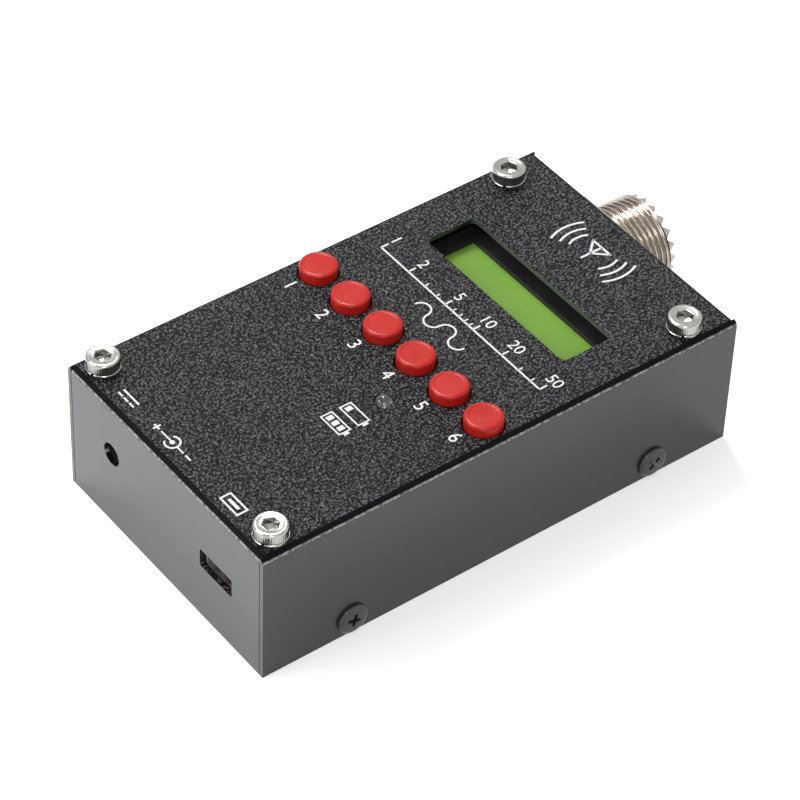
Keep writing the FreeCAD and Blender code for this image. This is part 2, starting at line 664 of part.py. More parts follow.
def header_pin(x):
    return rod(PIN_RADIUS, x, HEADER_Y, BOARD_BOTTOM - PIN_PROUD, DISPLAY_TOP + PIN_PROUD)


def display_header():
    """Plastic strip that holds the pins between the two boards."""
    half = HEADER_PINS * HEADER_PITCH / 2
    y0 = HEADER_Y - HEADER_WIDTH / 2
    strip = block(-half, half, y0, y0 + HEADER_WIDTH, BOARD_TOP, DISPLAY_BOTTOM)
    holes = [rod(PIN_RADIUS, x, HEADER_Y, BOARD_TOP - 1, DISPLAY_BOTTOM + 1) for x in HEADER_XS]
    return cut_all(strip, holes)


def switch_body(x):
    body = centred_block(x, BUTTON_Y, BOARD_TOP, SWITCH_SIDE, SWITCH_SIDE, SWITCH_HEIGHT)
    return body.cut(rod(STEM_RADIUS + STEM_GAP, x, BUTTON_Y, BOARD_TOP + SWITCH_FLOOR, SWITCH_TOP + 1))


def switch_plate(x):
    plate = centred_block(x, BUTTON_Y, SWITCH_TOP, SWITCH_SIDE, SWITCH_SIDE, SWITCH_PLATE)
    return plate.cut(rod(STEM_RADIUS + STEM_GAP, x, BUTTON_Y, SWITCH_TOP - 1, SWITCH_TOP + 1))


def switch_legs(x):
    """Four contact legs that lie on the board beside the switch body."""
    legs = []
    for side in (-1, 1):
        for end in (-1, 1):
            centre = BUTTON_Y + end * (SWITCH_SIDE + SWITCH_LEG_REACH) / 2
            across = x + side * SWITCH_LEG_SPACING / 2
            size = (SWITCH_LEG_WIDTH, SWITCH_LEG_REACH, SWITCH_LEG_THICKNESS)
            legs.append(centred_block(across, centre, BOARD_TOP, *size))
    return legs


def button_stem(x):
    return rod(STEM_RADIUS, x, BUTTON_Y, STEM_BOTTOM, STEM_TOP)


def button_cap(x):
    """Round cap pressed on the stem, with a rounded rim and a faint dish on top."""
    cap = rod(BUTTON_RADIUS, x, BUTTON_Y, BUTTON_BOTTOM, BUTTON_TOP)
    cap = cap.makeFillet(BUTTON_ROUND, edge_at_height(cap, BUTTON_TOP, BUTTON_RADIUS))
    dish = rod(BUTTON_DISH_RADIUS, x, BUTTON_Y, BUTTON_TOP - BUTTON_DISH_DEPTH, BUTTON_TOP + 1)
    return cut_all(cap, [dish, rod(STEM_RADIUS, x, BUTTON_Y, BUTTON_BOTTOM - 1, STEM_TOP)])


def charge_lamp():
    """Domed lamp with a flange at its foot."""
    dome_centre = LAMP_TOP - LAMP_RADIUS
    lens = rod(LAMP_RADIUS, LAMP_X, LAMP_Y, LAMP_BOTTOM, dome_centre)
    dome = Part.makeSphere(LAMP_RADIUS, Vector(LAMP_X, LAMP_Y, dome_centre))
    flange = rod(LAMP_FLANGE_RADIUS, LAMP_X, LAMP_Y, LAMP_BOTTOM, LAMP_BOTTOM + LAMP_FLANGE_HEIGHT)
    return join([lens, dome, flange])


def lamp_tube():
    tube = rod(LAMP_FLANGE_RADIUS + LAMP_TUBE_WALL, LAMP_X, LAMP_Y, BOARD_TOP, LAMP_BOTTOM)
    return tube.cut(rod(LAMP_FLANGE_RADIUS, LAMP_X, LAMP_Y, BOARD_TOP - 1, LAMP_BOTTOM + 1))


def lamp_lead(x):
    foot = BOARD_BOTTOM - PIN_PROUD
    return centred_block(x, LAMP_Y, foot, LAMP_LEAD, LAMP_LEAD, LAMP_BOTTOM - foot)


def inlet_body():
    """Power inlet block on the board, bored behind the hole in the end flap."""
    top = INLET_HEIGHT + INLET_RADIUS + INLET_WALL
    half = INLET_BODY_WIDTH / 2
    stop = DC_END_SEAT + INLET_BODY_LENGTH
    body = block(INLET_X - half, INLET_X + half, DC_END_SEAT, stop, BOARD_TOP, top)
    bore = rod_y(INLET_RADIUS, INLET_X, INLET_HEIGHT, DC_END_SEAT - 1, DC_END_SEAT + INLET_DEPTH)
    rear = rod_y(INLET_PIN_RADIUS, INLET_X, INLET_HEIGHT, DC_END_SEAT, stop + 1)
    return cut_all(body, [bore, rear])


def inlet_pin():
    start = DC_END_SEAT + INLET_PIN_RECESS
    return rod_y(INLET_PIN_RADIUS, INLET_X, INLET_HEIGHT, start, DC_END_SEAT + INLET_BODY_LENGTH)


def usb_shell():
    """Sheet metal shell of the data socket, open at the front."""
    half = USB_SHELL_WIDTH / 2
    stop = DC_END_SEAT + USB_SHELL_LENGTH
    top = BOARD_TOP + USB_SHELL_HEIGHT
    outer = block(USB_X - half, USB_X + half, DC_END_SEAT, stop, BOARD_TOP, top)
    inner = block(
        USB_X - half + USB_SHELL_SHEET,
        USB_X + half - USB_SHELL_SHEET,
        DC_END_SEAT - 1,
        stop + 1,
        BOARD_TOP + USB_SHELL_SHEET,
        top - USB_SHELL_SHEET,
    )
    return outer.cut(inner)


def usb_tongue():
    """Plastic block at the back of the shell and the tongue that carries the contacts."""
    half = USB_SHELL_WIDTH / 2 - USB_SHELL_SHEET
    stop = DC_END_SEAT + USB_SHELL_LENGTH
    low = BOARD_TOP + USB_SHELL_SHEET
    high = BOARD_TOP + USB_SHELL_HEIGHT - USB_SHELL_SHEET
    back = block(USB_X - half, USB_X + half, stop - USB_BACK, stop, low, high)
    tongue = block(
        USB_X - USB_TONGUE_WIDTH / 2,
        USB_X + USB_TONGUE_WIDTH / 2,
        DC_END_SEAT + USB_TONGUE_RECESS,
        stop - USB_BACK,
        USB_Z,
        USB_Z + USB_TONGUE_HEIGHT,
    )
    return join([back, tongue])


def usb_contact(index):
    """One contact strip on the tongue's lower side."""
    x = USB_X + (index - (USB_CONTACTS - 1) / 2) * USB_CONTACT_PITCH
    stop = DC_END_SEAT + USB_SHELL_LENGTH - USB_BACK
    start = DC_END_SEAT + USB_TONGUE_RECESS
    half = USB_CONTACT_WIDTH / 2
    return block(x - half, x + half, start, stop, USB_Z - USB_CONTACT_THICKNESS, USB_Z)


def thread_profile(start, stop):
    """Points (radius, y) of a threaded outline from start to stop, crests at full radius."""
    points = [(COAX_RADIUS, start)]
    flank = (COAX_PITCH - COAX_CREST) / 2
    turns = int((stop - start - COAX_CREST) / COAX_PITCH)
    y = start
    for _ in range(turns):
        y += COAX_CREST
        points.append((COAX_RADIUS, y))
        points.append((COAX_RADIUS - COAX_THREAD_DEPTH, y + flank))
        points.append((COAX_RADIUS, y + 2 * flank))
        y += 2 * flank
    points.append((COAX_RADIUS, stop))
    return points


def coax_notch(index):
    """Pointed gap between two teeth on the rim of the socket."""
    half = math.tan(math.pi / COAX_TEETH) * COAX_RADIUS * COAX_NOTCH_SHARE
    top = COAX_RIM_Y + COAX_TOOTH_HEIGHT
    over = COAX_TOOTH_HEIGHT
    points = [
        Vector(0, COAX_RIM_Y, 0),
        Vector(0, top + over, -2 * half),
        Vector(0, top + over, 2 * half),
        Vector(0, COAX_RIM_Y, 0),
    ]
    notch = Part.Face(Part.makePolygon(points)).extrude(Vector(COAX_RADIUS + 1, 0, 0))
    notch.rotate(Vector(0, 0, 0), Y_AXIS, -(COAX_TOOTH_PHASE + (index + 0.5) * 360 / COAX_TEETH))
    return notch


def coax_body():
    """Threaded barrel with a hexagonal flange inside the case and a toothed rim.

    Behind the thread the barrel is plain, at the thread's mean radius, where the nut grips it.
    """
    crown = COAX_RADIUS - COAX_THREAD_DEPTH / 2
    tip = COAX_RIM_Y + COAX_TOOTH_HEIGHT
    outline = [(0, COAX_FLANGE_BACK), (COAX_MEAN_RADIUS, COAX_FLANGE_BACK)]
    outline.append((COAX_MEAN_RADIUS, COAX_THREAD_START))
    outline += thread_profile(COAX_THREAD_START, COAX_RIM_Y)
    outline += [(crown, COAX_RIM_Y), (crown, tip), (0, tip), (0, COAX_FLANGE_BACK)]
    points = [Vector(r, y, 0) for r, y in outline]
    barrel = Part.Face(Part.makePolygon(points)).revolve(Vector(0, 0, 0), Y_AXIS, 360)
    flange = hexagon_y(COAX_FLANGE_FLATS, 0, 0, COAX_FLANGE_BACK, COAX_TAG_BACK, COAX_FLANGE_TURN_DEGREES)
    body = barrel.fuse(flange).cut(rod_y(COAX_BORE, 0, 0, COAX_FLANGE_BACK - 1, tip + 1))
    body = cut_all(body, [coax_notch(i) for i in range(COAX_TEETH)])
    body.translate(Vector(COAX_X, 0, COAX_HEIGHT))
    return body


def coax_insulator():
    start = COAX_FLANGE_BACK - COAX_INSULATOR_REAR
    solid = rod_y(COAX_BORE, COAX_X, COAX_HEIGHT, start, COAX_FACE_Y)
    back = COAX_FACE_Y - COAX_CONTACT_LENGTH
    front = rod_y(COAX_CONTACT_RADIUS, COAX_X, COAX_HEIGHT, back, COAX_FACE_Y + 1)
    rear = rod_y(COAX_TAIL_RADIUS, COAX_X, COAX_HEIGHT, start - 1, COAX_FACE_Y)
    return cut_all(solid, [front, rear])


def coax_contact():
    """Slit centre contact with its solder tail inside the case."""
    back = COAX_FACE_Y - COAX_CONTACT_LENGTH
    tail_end = COAX_FLANGE_BACK - COAX_TAIL_LENGTH
    front = rod_y(COAX_CONTACT_RADIUS, COAX_X, COAX_HEIGHT, back, COAX_FACE_Y)
    solid = join([front, rod_y(COAX_TAIL_RADIUS, COAX_X, COAX_HEIGHT, tail_end, back)])
    bore = rod_y(COAX_CONTACT_BORE, COAX_X, COAX_HEIGHT, COAX_FACE_Y - COAX_CONTACT_DEPTH, COAX_FACE_Y + 1)
    reach = COAX_CONTACT_RADIUS + 1
    slit_start = COAX_FACE_Y - COAX_CONTACT_DEPTH / 2
    slits = [
        block(-reach, reach, slit_start, COAX_FACE_Y + 1, -COAX_SLIT / 2, COAX_SLIT / 2),
        block(-COAX_SLIT / 2, COAX_SLIT / 2, slit_start, COAX_FACE_Y + 1, -reach, reach),
    ]
    for slit in slits:
        slit.translate(Vector(COAX_X, 0, COAX_HEIGHT))
    return cut_all(solid, [bore] + slits)


def coax_bore(radius, back, front):
    """Tool for a hole round the socket's axis, through a piece from back to front."""
    return rod_y(radius, COAX_X, COAX_HEIGHT, back - 1, front + 1)


def coax_nut():
    nut = hexagon_y(COAX_NUT_FLATS, COAX_X, COAX_HEIGHT, HALF_LENGTH, COAX_NUT_FACE)
    return nut.cut(coax_bore(COAX_MEAN_RADIUS + COAX_NUT_GAP, HALF_LENGTH, COAX_NUT_FACE))


def coax_washer():
    ring = rod_y(COAX_WASHER_RADIUS, COAX_X, COAX_HEIGHT, COAX_WASHER_BACK, INNER_Y)
    return ring.cut(coax_bore(COAX_RADIUS + COAX_HOLE_GAP, COAX_WASHER_BACK, INNER_Y))


def ground_tag():
    """Ring under the socket's flange with a tail soldered to the board."""
    ring = rod_y(COAX_TAG_RADIUS, COAX_X, COAX_HEIGHT, COAX_TAG_BACK, COAX_WASHER_BACK)
    tail_x = COAX_X + COAX_FLANGE_FLATS / 2 + COAX_TAG_THICKNESS
    tail = block(
        tail_x,
        tail_x + COAX_TAG_WIDTH,
        COAX_WASHER_BACK - COAX_TAG_LENGTH,
        COAX_WASHER_BACK,
        BOARD_TOP,
        BOARD_TOP + COAX_TAG_THICKNESS,
    )
    lug = block(
        COAX_X + COAX_RADIUS,
        tail_x + COAX_TAG_WIDTH,
        COAX_TAG_BACK,
        COAX_WASHER_BACK,
        BOARD_TOP,
        COAX_HEIGHT,
    )
    bore = coax_bore(COAX_RADIUS + COAX_HOLE_GAP, COAX_TAG_BACK, COAX_WASHER_BACK)
    return join([ring, lug, tail]).cut(bore)


def power_housing():
    """Plastic base of the slide switch, open at the front where the slider runs."""
    top = BOARD_TOP + POWER_HEIGHT - POWER_SHEET
    front = POWER_FRONT - POWER_SHEET
    half = POWER_WIDTH / 2
    body = block(POWER_X - half, POWER_X + half, front - POWER_DEPTH, front, BOARD_TOP, top)
    reach = (POWER_SLIDER_WIDTH + POWER_TRAVEL) / 2 + POWER_PLAY
    cavity = block(
        POWER_X - reach,
        POWER_X + reach,
        front - POWER_SLIDER_DEPTH - POWER_PLAY,
        front + 1,
        BOARD_TOP + POWER_WALL,
        top - POWER_WALL,
    )
    return body.cut(cavity)


def power_frame():
    """Metal cover bent over the top and front of the switch."""
    top = BOARD_TOP + POWER_HEIGHT
    half = POWER_WIDTH / 2
    back = POWER_FRONT - POWER_SHEET - POWER_DEPTH
    roof = block(POWER_X - half, POWER_X + half, back, POWER_FRONT, top - POWER_SHEET, top)
    face = block(POWER_X - half, POWER_X + half, POWER_FRONT - POWER_SHEET, POWER_FRONT, BOARD_TOP, top)
    return join([roof, face]).cut(power_slot(POWER_PLAY, POWER_FRONT - 1, POWER_FRONT + 1))


def power_slider():
    """Sliding knob, at the off end of its travel."""
    front = POWER_FRONT - POWER_SHEET - POWER_PLAY
    half = POWER_SLIDER_WIDTH / 2
    low = BOARD_TOP + POWER_WALL + POWER_PLAY
    high = BOARD_TOP + POWER_HEIGHT - POWER_SHEET - POWER_WALL - POWER_PLAY
    back = front - POWER_SLIDER_DEPTH + POWER_PLAY
    shoe = block(POWER_KNOB_X - half, POWER_KNOB_X + half, back, front, low, high)
    reach = POWER_KNOB / 2
    knob = block(
        POWER_KNOB_X - reach,
        POWER_KNOB_X + reach,
        front - POWER_PLAY,
        HALF_LENGTH + POWER_KNOB_PROUD,
        POWER_KNOB_Z - reach,
        POWER_KNOB_Z + reach,
    )
    return join([shoe, knob])


def battery_cell(index):
    start = CELL_START + index * (CELL_LENGTH + CELL_GAP)
    stop = start + CELL_LENGTH
    return rounded_block(-CELL_X, CELL_X, start, stop, PAD_TOP, PAD_TOP + CELL_THICKNESS, CELL_CORNER)


def battery_pad(index):
    start = CELL_START + index * (CELL_LENGTH + CELL_GAP)
    x = CELL_X - PAD_INSET
    return block(-x, x, start + PAD_INSET, start + CELL_LENGTH - PAD_INSET, SHEET, PAD_TOP)


def battery_guard():
    """Protection board that stands against the last cell."""
    half = GUARD_WIDTH / 2
    return block(-half, half, CELL_STOP, GUARD_FACE, PAD_TOP + GUARD_MARGIN, PAD_TOP + CELL_THICKNESS)


def battery_lead(side):
    x = BATTERY_PLUG_X + side * BATTERY_LEAD_SPACING / 2
    return rod_y(BATTERY_LEAD_RADIUS, x, BATTERY_LEAD_Z, GUARD_FACE, BATTERY_PLUG_START)


def battery_socket_block(start, stop):
    half = BATTERY_PLUG_WIDTH / 2
    low = BOARD_BOTTOM - BATTERY_HEADER_HEIGHT
    return block(BATTERY_PLUG_X - half, BATTERY_PLUG_X + half, start, stop, low, BOARD_BOTTOM)


def flat_chip(x, y, width, length, height):
    return centred_block(x, y, BOARD_TOP + CHIP_STANDOFF, width, length, height)


def chip_leg(x, y, width, depth):
    return centred_block(x, y, BOARD_TOP, width, depth, CHIP_LEG_THICKNESS)


def chip_legs(x, y, width, length, count, pitch, four_sides):
    """Rows of legs along two or four sides of a chip; each starts at the chip's body."""
    legs = []
    for i in range(count):
        along = (i - (count - 1) / 2) * pitch
        for side in (-1, 1):
            out_x = x + side * (width + CHIP_LEG_REACH) / 2
            legs.append(chip_leg(out_x, y + along, CHIP_LEG_REACH, CHIP_LEG_WIDTH))
            if four_sides:
                out_y = y + side * (length + CHIP_LEG_REACH) / 2
                legs.append(chip_leg(x + along, out_y, CHIP_LEG_WIDTH, CHIP_LEG_REACH))
    return legs


def processor():
    return flat_chip(PROCESSOR_X, PROCESSOR_Y, PROCESSOR_SIDE, PROCESSOR_SIDE, PROCESSOR_THICKNESS)


def processor_legs():
    side = PROCESSOR_SIDE
    return chip_legs(PROCESSOR_X, PROCESSOR_Y, side, side, PROCESSOR_LEG_COUNT, PROCESSOR_LEG_PITCH, True)


def synth_chip():
    return flat_chip(SYNTH_X, SYNTH_Y, SYNTH_WIDTH, SYNTH_LENGTH, PROCESSOR_THICKNESS)


def synth_legs():
    return chip_legs(SYNTH_X, SYNTH_Y, SYNTH_WIDTH, SYNTH_LENGTH, SYNTH_LEG_COUNT, SYNTH_LEG_PITCH, False)


def crystal():
    can = centred_block(0, 0, 0, CRYSTAL_LENGTH, CRYSTAL_WIDTH, CRYSTAL_HEIGHT)
    upright = [e for e in can.Edges if abs(e.tangentAt(e.FirstParameter).z) > 0.99]
    can = can.makeFillet(CRYSTAL_WIDTH / 2 - 0.05, upright)
    can.translate(Vector(CRYSTAL_X, CRYSTAL_Y, BOARD_TOP))
    return can


def ferrite_core(x):
    ring = rod(CORE_OUTER, x, CORE_Y, BOARD_TOP, BOARD_TOP + CORE_HEIGHT)
    return ring.cut(rod(CORE_INNER, x, CORE_Y, BOARD_TOP - 1, BOARD_TOP + CORE_HEIGHT + 1))


def capacitor(x):
    base_side = 2 * (CAPACITOR_RADIUS + CAPACITOR_BASE_EDGE)
    base = centred_block(x, CAPACITOR_Y, BOARD_TOP, base_side, base_side, CAPACITOR_BASE)
    can = rod(CAPACITOR_RADIUS, x, CAPACITOR_Y, BOARD_TOP + CAPACITOR_BASE, BOARD_TOP + CAPACITOR_HEIGHT)
    return join([base, can])


def power_inductor():
    return centred_block(INDUCTOR_X, INDUCTOR_Y, BOARD_TOP, INDUCTOR_SIDE, INDUCTOR_SIDE, INDUCTOR_HEIGHT)


def main():
    os.makedirs("parts", exist_ok=True)
    save("top_cover", top_cover())
    save("bottom_cover", bottom_cover())
    save("case_screws", [case_screw(x, y) for x, y in SCREW_SPOTS])
    save("lock_washers", [lock_washer(x, y) for x, y in SCREW_SPOTS])
    save("spacers", [spacer(x, y) for x, y in SCREW_SPOTS])
    save("board_nuts", [board_nut(x, y) for x, y in SCREW_SPOTS])
    save("side_screws", [side_screw(side, y) for side in (-1, 1) for y in SIDE_SCREW_YS])
    save("main_board", main_board())

    save("display_board", display_board())
    save("display_light", display_slab(DISPLAY_TOP, GLASS_BOTTOM))
    save("display_glass", display_slab(GLASS_BOTTOM, GLASS_TOP))
    save("display_bezel", display_bezel())
    save("display_header", display_header())
    save("display_pins", [header_pin(x) for x in HEADER_XS])
    save("display_spacers", [display_spacer(x, y) for x, y in DISPLAY_SPOTS])
    save("display_screws", [display_screw(x, y) for x, y in DISPLAY_SPOTS])

    save("switch_bodies", [switch_body(x) for x in BUTTON_XS])
    save("switch_plates", [switch_plate(x) for x in BUTTON_XS])
    save("switch_legs", [leg for x in BUTTON_XS for leg in switch_legs(x)])
    for number, x in enumerate(BUTTON_XS, start=1):
        save("button_%d_stem" % number, button_stem(x))
        save("button_%d_cap" % number, button_cap(x))

    save("charge_lamp", charge_lamp())
    save("lamp_tube", lamp_tube())
    save("lamp_leads", [lamp_lead(x) for x in lamp_lead_xs()])
    save("inlet_body", inlet_body())
    save("inlet_pin", inlet_pin())
    save("usb_shell", usb_shell())
    save("usb_tongue", usb_tongue())
    save("usb_contacts", [usb_contact(i) for i in range(USB_CONTACTS)])

    save("coax_body", coax_body())
    save("coax_insulator", coax_insulator())
    save("coax_contact", coax_contact())
    save("coax_nut", coax_nut())
    save("coax_washer", coax_washer())
    save("ground_tag", ground_tag())
    save("power_housing", power_housing())
    save("power_frame", power_frame())
    save("power_slider", power_slider())

    save("battery_cells", [battery_cell(i) for i in range(CELL_COUNT)])
    save("battery_pads", [battery_pad(i) for i in range(CELL_COUNT)])
    save("battery_guard", battery_guard())
    save("battery_leads", [battery_lead(side) for side in (-1, 1)])
    save("battery_plug", battery_socket_block(BATTERY_PLUG_START, BATTERY_HEADER_START))
    save("battery_header", battery_socket_block(BATTERY_HEADER_START, BATTERY_HEADER_STOP))

    save("chips", [processor(), synth_chip()])
    save("chip_legs", processor_legs() + synth_legs())
    save("crystal", crystal())
    save("bridge_cores", [ferrite_core(x) for x in CORE_XS])
    save("capacitors", [capacitor(x) for x in CAPACITOR_XS])
    save("power_inductor", power_inductor())


main()
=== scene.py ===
"""Looks of the hand-held antenna analyzer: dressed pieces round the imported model, studio and camera."""
import json
import math
import random

import bmesh
import bpy
from mathutils import Matrix, Vector


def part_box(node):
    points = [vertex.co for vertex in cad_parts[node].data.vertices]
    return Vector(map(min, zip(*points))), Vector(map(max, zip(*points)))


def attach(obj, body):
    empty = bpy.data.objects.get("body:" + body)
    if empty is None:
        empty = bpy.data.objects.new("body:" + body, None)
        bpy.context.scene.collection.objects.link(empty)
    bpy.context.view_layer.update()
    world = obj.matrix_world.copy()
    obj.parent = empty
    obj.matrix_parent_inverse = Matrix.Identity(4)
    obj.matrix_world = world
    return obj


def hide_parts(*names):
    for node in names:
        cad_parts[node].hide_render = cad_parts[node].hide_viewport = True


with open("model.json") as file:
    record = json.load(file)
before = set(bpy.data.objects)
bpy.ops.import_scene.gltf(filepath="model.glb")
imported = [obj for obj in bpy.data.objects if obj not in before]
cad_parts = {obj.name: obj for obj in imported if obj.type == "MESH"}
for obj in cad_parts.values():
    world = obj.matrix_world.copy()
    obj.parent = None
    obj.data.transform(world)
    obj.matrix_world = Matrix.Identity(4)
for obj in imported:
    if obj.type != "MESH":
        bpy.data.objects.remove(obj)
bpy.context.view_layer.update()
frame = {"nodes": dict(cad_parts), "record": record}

MM = 0.001
CASE = "case"
COVER_LOW, COVER_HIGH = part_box("top_cover")
PANEL = COVER_HIGH[2]


# Small maths helpers

def middle(node):
    """Centre of a node's box, in metres."""
    low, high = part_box(node)
    return Vector([(a + b) / 2 for a, b in zip(low, high)])


# Materials

NOISE_ROUGHNESS = 0.55


def fresh_material(name):
    material = bpy.data.materials.new(name)
    material.use_nodes = True
    tree = material.node_tree
    shader = tree.nodes["Principled BSDF"]
    return material, tree, shader


def add(tree, kind, **values):
    """New node; keys that are sockets set their defaults, others are properties."""
    node = tree.nodes.new(kind)
    for key, value in values.items():
        if key in node.inputs:
            node.inputs[key].default_value = value
        else:
            setattr(node, key, value)
    return node


def object_coords(tree):
    return add(tree, "ShaderNodeTexCoord").outputs["Object"]


def noise(tree, scale, detail=3.0, coords=None):
    node = add(tree, "ShaderNodeTexNoise", Scale=scale, Detail=detail, Roughness=NOISE_ROUGHNESS)
    tree.links.new(coords or object_coords(tree), node.inputs["Vector"])
    return node.outputs["Fac"]


def ramp(tree, factor, stops):
    """Colour ramp; stops are (place, colour)."""
    node = add(tree, "ShaderNodeValToRGB")
    elements = node.color_ramp.elements
    while len(elements) < len(stops):
        elements.new(0.5)
    for element, (place, colour) in zip(elements, stops):
        element.position = place
        element.color = (*colour, 1.0)
    tree.links.new(factor, node.inputs["Fac"])
    return node.outputs["Color"]


def spread(tree, factor, low, high, start=0.3, stop=0.7):
    """Maps a factor between start and stop to the range low to high."""
    node = add(tree, "ShaderNodeMapRange")
    node.inputs["From Min"].default_value = start
    node.inputs["From Max"].default_value = stop
    node.inputs["To Min"].default_value = low
    node.inputs["To Max"].default_value = high
    tree.links.new(factor, node.inputs["Value"])
    return node.outputs["Result"]


def bump(tree, height, strength, distance, normal=None):
    node = add(tree, "ShaderNodeBump", Strength=strength, Distance=distance)
    tree.links.new(height, node.inputs["Height"])
    if normal is not None:
        tree.links.new(normal, node.inputs["Normal"])
    return node.outputs["Normal"]


def shade(colour, factor):
    return tuple(min(1.0, c * factor) for c in colour)


def grained(name, colour, rough, grain=4000.0, depth=0.00002, specular=0.5):
    """Moulded or plated surface: mottled colour, uneven roughness and a fine grain."""
    material, tree, shader = fresh_material(name)
    broad = noise(tree, grain * 0.06, 4.0)
    fine = noise(tree, grain, 2.0)
    colours = ramp(tree, broad, [(0.3, shade(colour, 0.88)), (0.7, shade(colour, 1.12))])
    tree.links.new(colours, shader.inputs["Base Color"])
    uneven = spread(tree, broad, rough * 0.85, min(1.0, rough * 1.15))
    tree.links.new(uneven, shader.inputs["Roughness"])
    tree.links.new(bump(tree, fine, 0.3, depth), shader.inputs["Normal"])
    shader.inputs["Specular IOR Level"].default_value = specular
    return material


def blend(tree, factor, first, second):
    """Mix of two colours, each a socket or a plain colour."""
    node = add(tree, "ShaderNodeMix", data_type="RGBA")
    for socket, value in ((node.inputs[0], factor), (node.inputs[6], first), (node.inputs[7], second)):
        if isinstance(value, tuple):
            socket.default_value = (*value, 1.0)
        else:
            tree.links.new(value, socket)
    return node.outputs[2]


WRINKLE_SCALE = 2250.0
WRINKLE_DEPTH = 0.24 * MM
WRINKLE_WARP = 0.7 * MM
# Colour of the painted sheen on the end flaps
END_FLAP_SHEEN = (0.080, 0.086, 0.092)


def case_coat():
    """Black powder coat: wrinkled on the panel, smooth on the flaps; painted highlight and painted shade
    along the folds, painted sheen on the end flaps, wrinkle crests painted lighter and hollows darker.
    """
    material, tree, shader = fresh_material("case_coat")
    coords = object_coords(tree)
    warp = add(tree, "ShaderNodeTexNoise", Scale=900.0, Detail=2.0)
    tree.links.new(coords, warp.inputs["Vector"])
    scaled = add(tree, "ShaderNodeVectorMath", operation="SCALE")
    scaled.inputs["Scale"].default_value = WRINKLE_WARP
    tree.links.new(warp.outputs["Color"], scaled.inputs[0])
    moved = add(tree, "ShaderNodeVectorMath", operation="ADD")
    tree.links.new(coords, moved.inputs[0])
    tree.links.new(scaled.outputs["Vector"], moved.inputs[1])
    cells = add(tree, "ShaderNodeTexVoronoi", Scale=WRINKLE_SCALE, feature="SMOOTH_F1", Smoothness=0.35)
    tree.links.new(moved.outputs["Vector"], cells.inputs["Vector"])
    fine = noise(tree, 4200.0, 3.0, coords=coords)
    speck = noise(tree, 1900.0, 2.0, coords=coords)
    facing = add(tree, "ShaderNodeNewGeometry")
    split = add(tree, "ShaderNodeSeparateXYZ")
    tree.links.new(facing.outputs["Normal"], split.inputs["Vector"])
    up = split.outputs["Z"]
    panel = spread(tree, up, 0.0, 1.0, 0.97, 0.995)
    endward = add(tree, "ShaderNodeMath", operation="ABSOLUTE")
    tree.links.new(split.outputs["Y"], endward.inputs[0])
    height = cells.outputs["Distance"]
    wrinkle = add(tree, "ShaderNodeBump", Distance=WRINKLE_DEPTH)
    wrinkle.invert = True
    tree.links.new(height, wrinkle.inputs["Height"])
    tree.links.new(panel, wrinkle.inputs["Strength"])
    tree.links.new(bump(tree, fine, 0.2, 0.00002, wrinkle.outputs["Normal"]), shader.inputs["Normal"])
    cloud = noise(tree, 60.0, 4.0, coords=coords)
    flap = ramp(tree, cloud, [(0.3, (0.012, 0.013, 0.014)), (0.7, (0.017, 0.018, 0.019))])
    # Painted sheen: faces turned along Y (the end flaps) are coloured lighter to stand in for the light
    # they reflect.
    flap = blend(tree, spread(tree, endward.outputs[0], 0.0, 1.0, 0.5, 1.0), flap, END_FLAP_SHEEN)
    # Painted highlight: a bright speckled band on the flap side of each fold stands in for the light the
    # bend reflects. Painted shade: a near-black band on the panel side stands in for the dark reflection
    # there.
    ridge_painted_highlight = ramp(tree, speck, [(0.42, (0.09, 0.09, 0.09)), (0.55, (0.34, 0.34, 0.33))])
    ridge = ramp(tree, up, [(0.18, (0, 0, 0)), (0.30, (1, 1, 1)), (0.48, (1, 1, 1)), (0.58, (0, 0, 0))])
    bend = ramp(tree, up, [(0.42, (0, 0, 0)), (0.60, (1, 1, 1))])
    shadow = blend(tree, bend, flap, (0.006, 0.006, 0.007))
    folded = blend(tree, ridge, shadow, ridge_painted_highlight)
    # Painted light and shade: wrinkle crests are coloured lighter and hollows near black, standing in for
    # glints on the crests and shade in the hollows.
    wrinkle_painted_light = ramp(tree, height, [(0.1, (0.090, 0.091, 0.095)), (0.52, (0.004, 0.004, 0.005))])
    tree.links.new(blend(tree, panel, folded, wrinkle_painted_light), shader.inputs["Base Color"])
    dull = (0.03, 0.03, 0.03)
    flap_shine = ramp(tree, up, [(0.3, (0.5, 0.5, 0.5)), (0.6, dull)])
    panel_shine = ramp(tree, height, [(0.1, (0.6, 0.6, 0.6)), (0.55, (0.08, 0.08, 0.08))])
    tree.links.new(blend(tree, panel, flap_shine, panel_shine), shader.inputs["Specular IOR Level"])
    tree.links.new(spread(tree, fine, 0.26, 0.38), shader.inputs["Roughness"])
    return material


def red_plastic():
    material, tree, shader = fresh_material("red_plastic")
    broad = noise(tree, 260.0, 3.0)
    fine = noise(tree, 6000.0, 2.0)
    colours = ramp(tree, broad, [(0.3, (0.40, 0.013, 0.009)), (0.7, (0.46, 0.018, 0.013))])
    tree.links.new(colours, shader.inputs["Base Color"])
    tree.links.new(spread(tree, broad, 0.22, 0.3), shader.inputs["Roughness"])
    tree.links.new(bump(tree, fine, 0.12, 0.00001), shader.inputs["Normal"])
    shader.inputs["Subsurface Weight"].default_value = 0.08
    shader.inputs["Subsurface Scale"].default_value = 0.001
    shader.inputs["Specular IOR Level"].default_value = 0.2
    return material


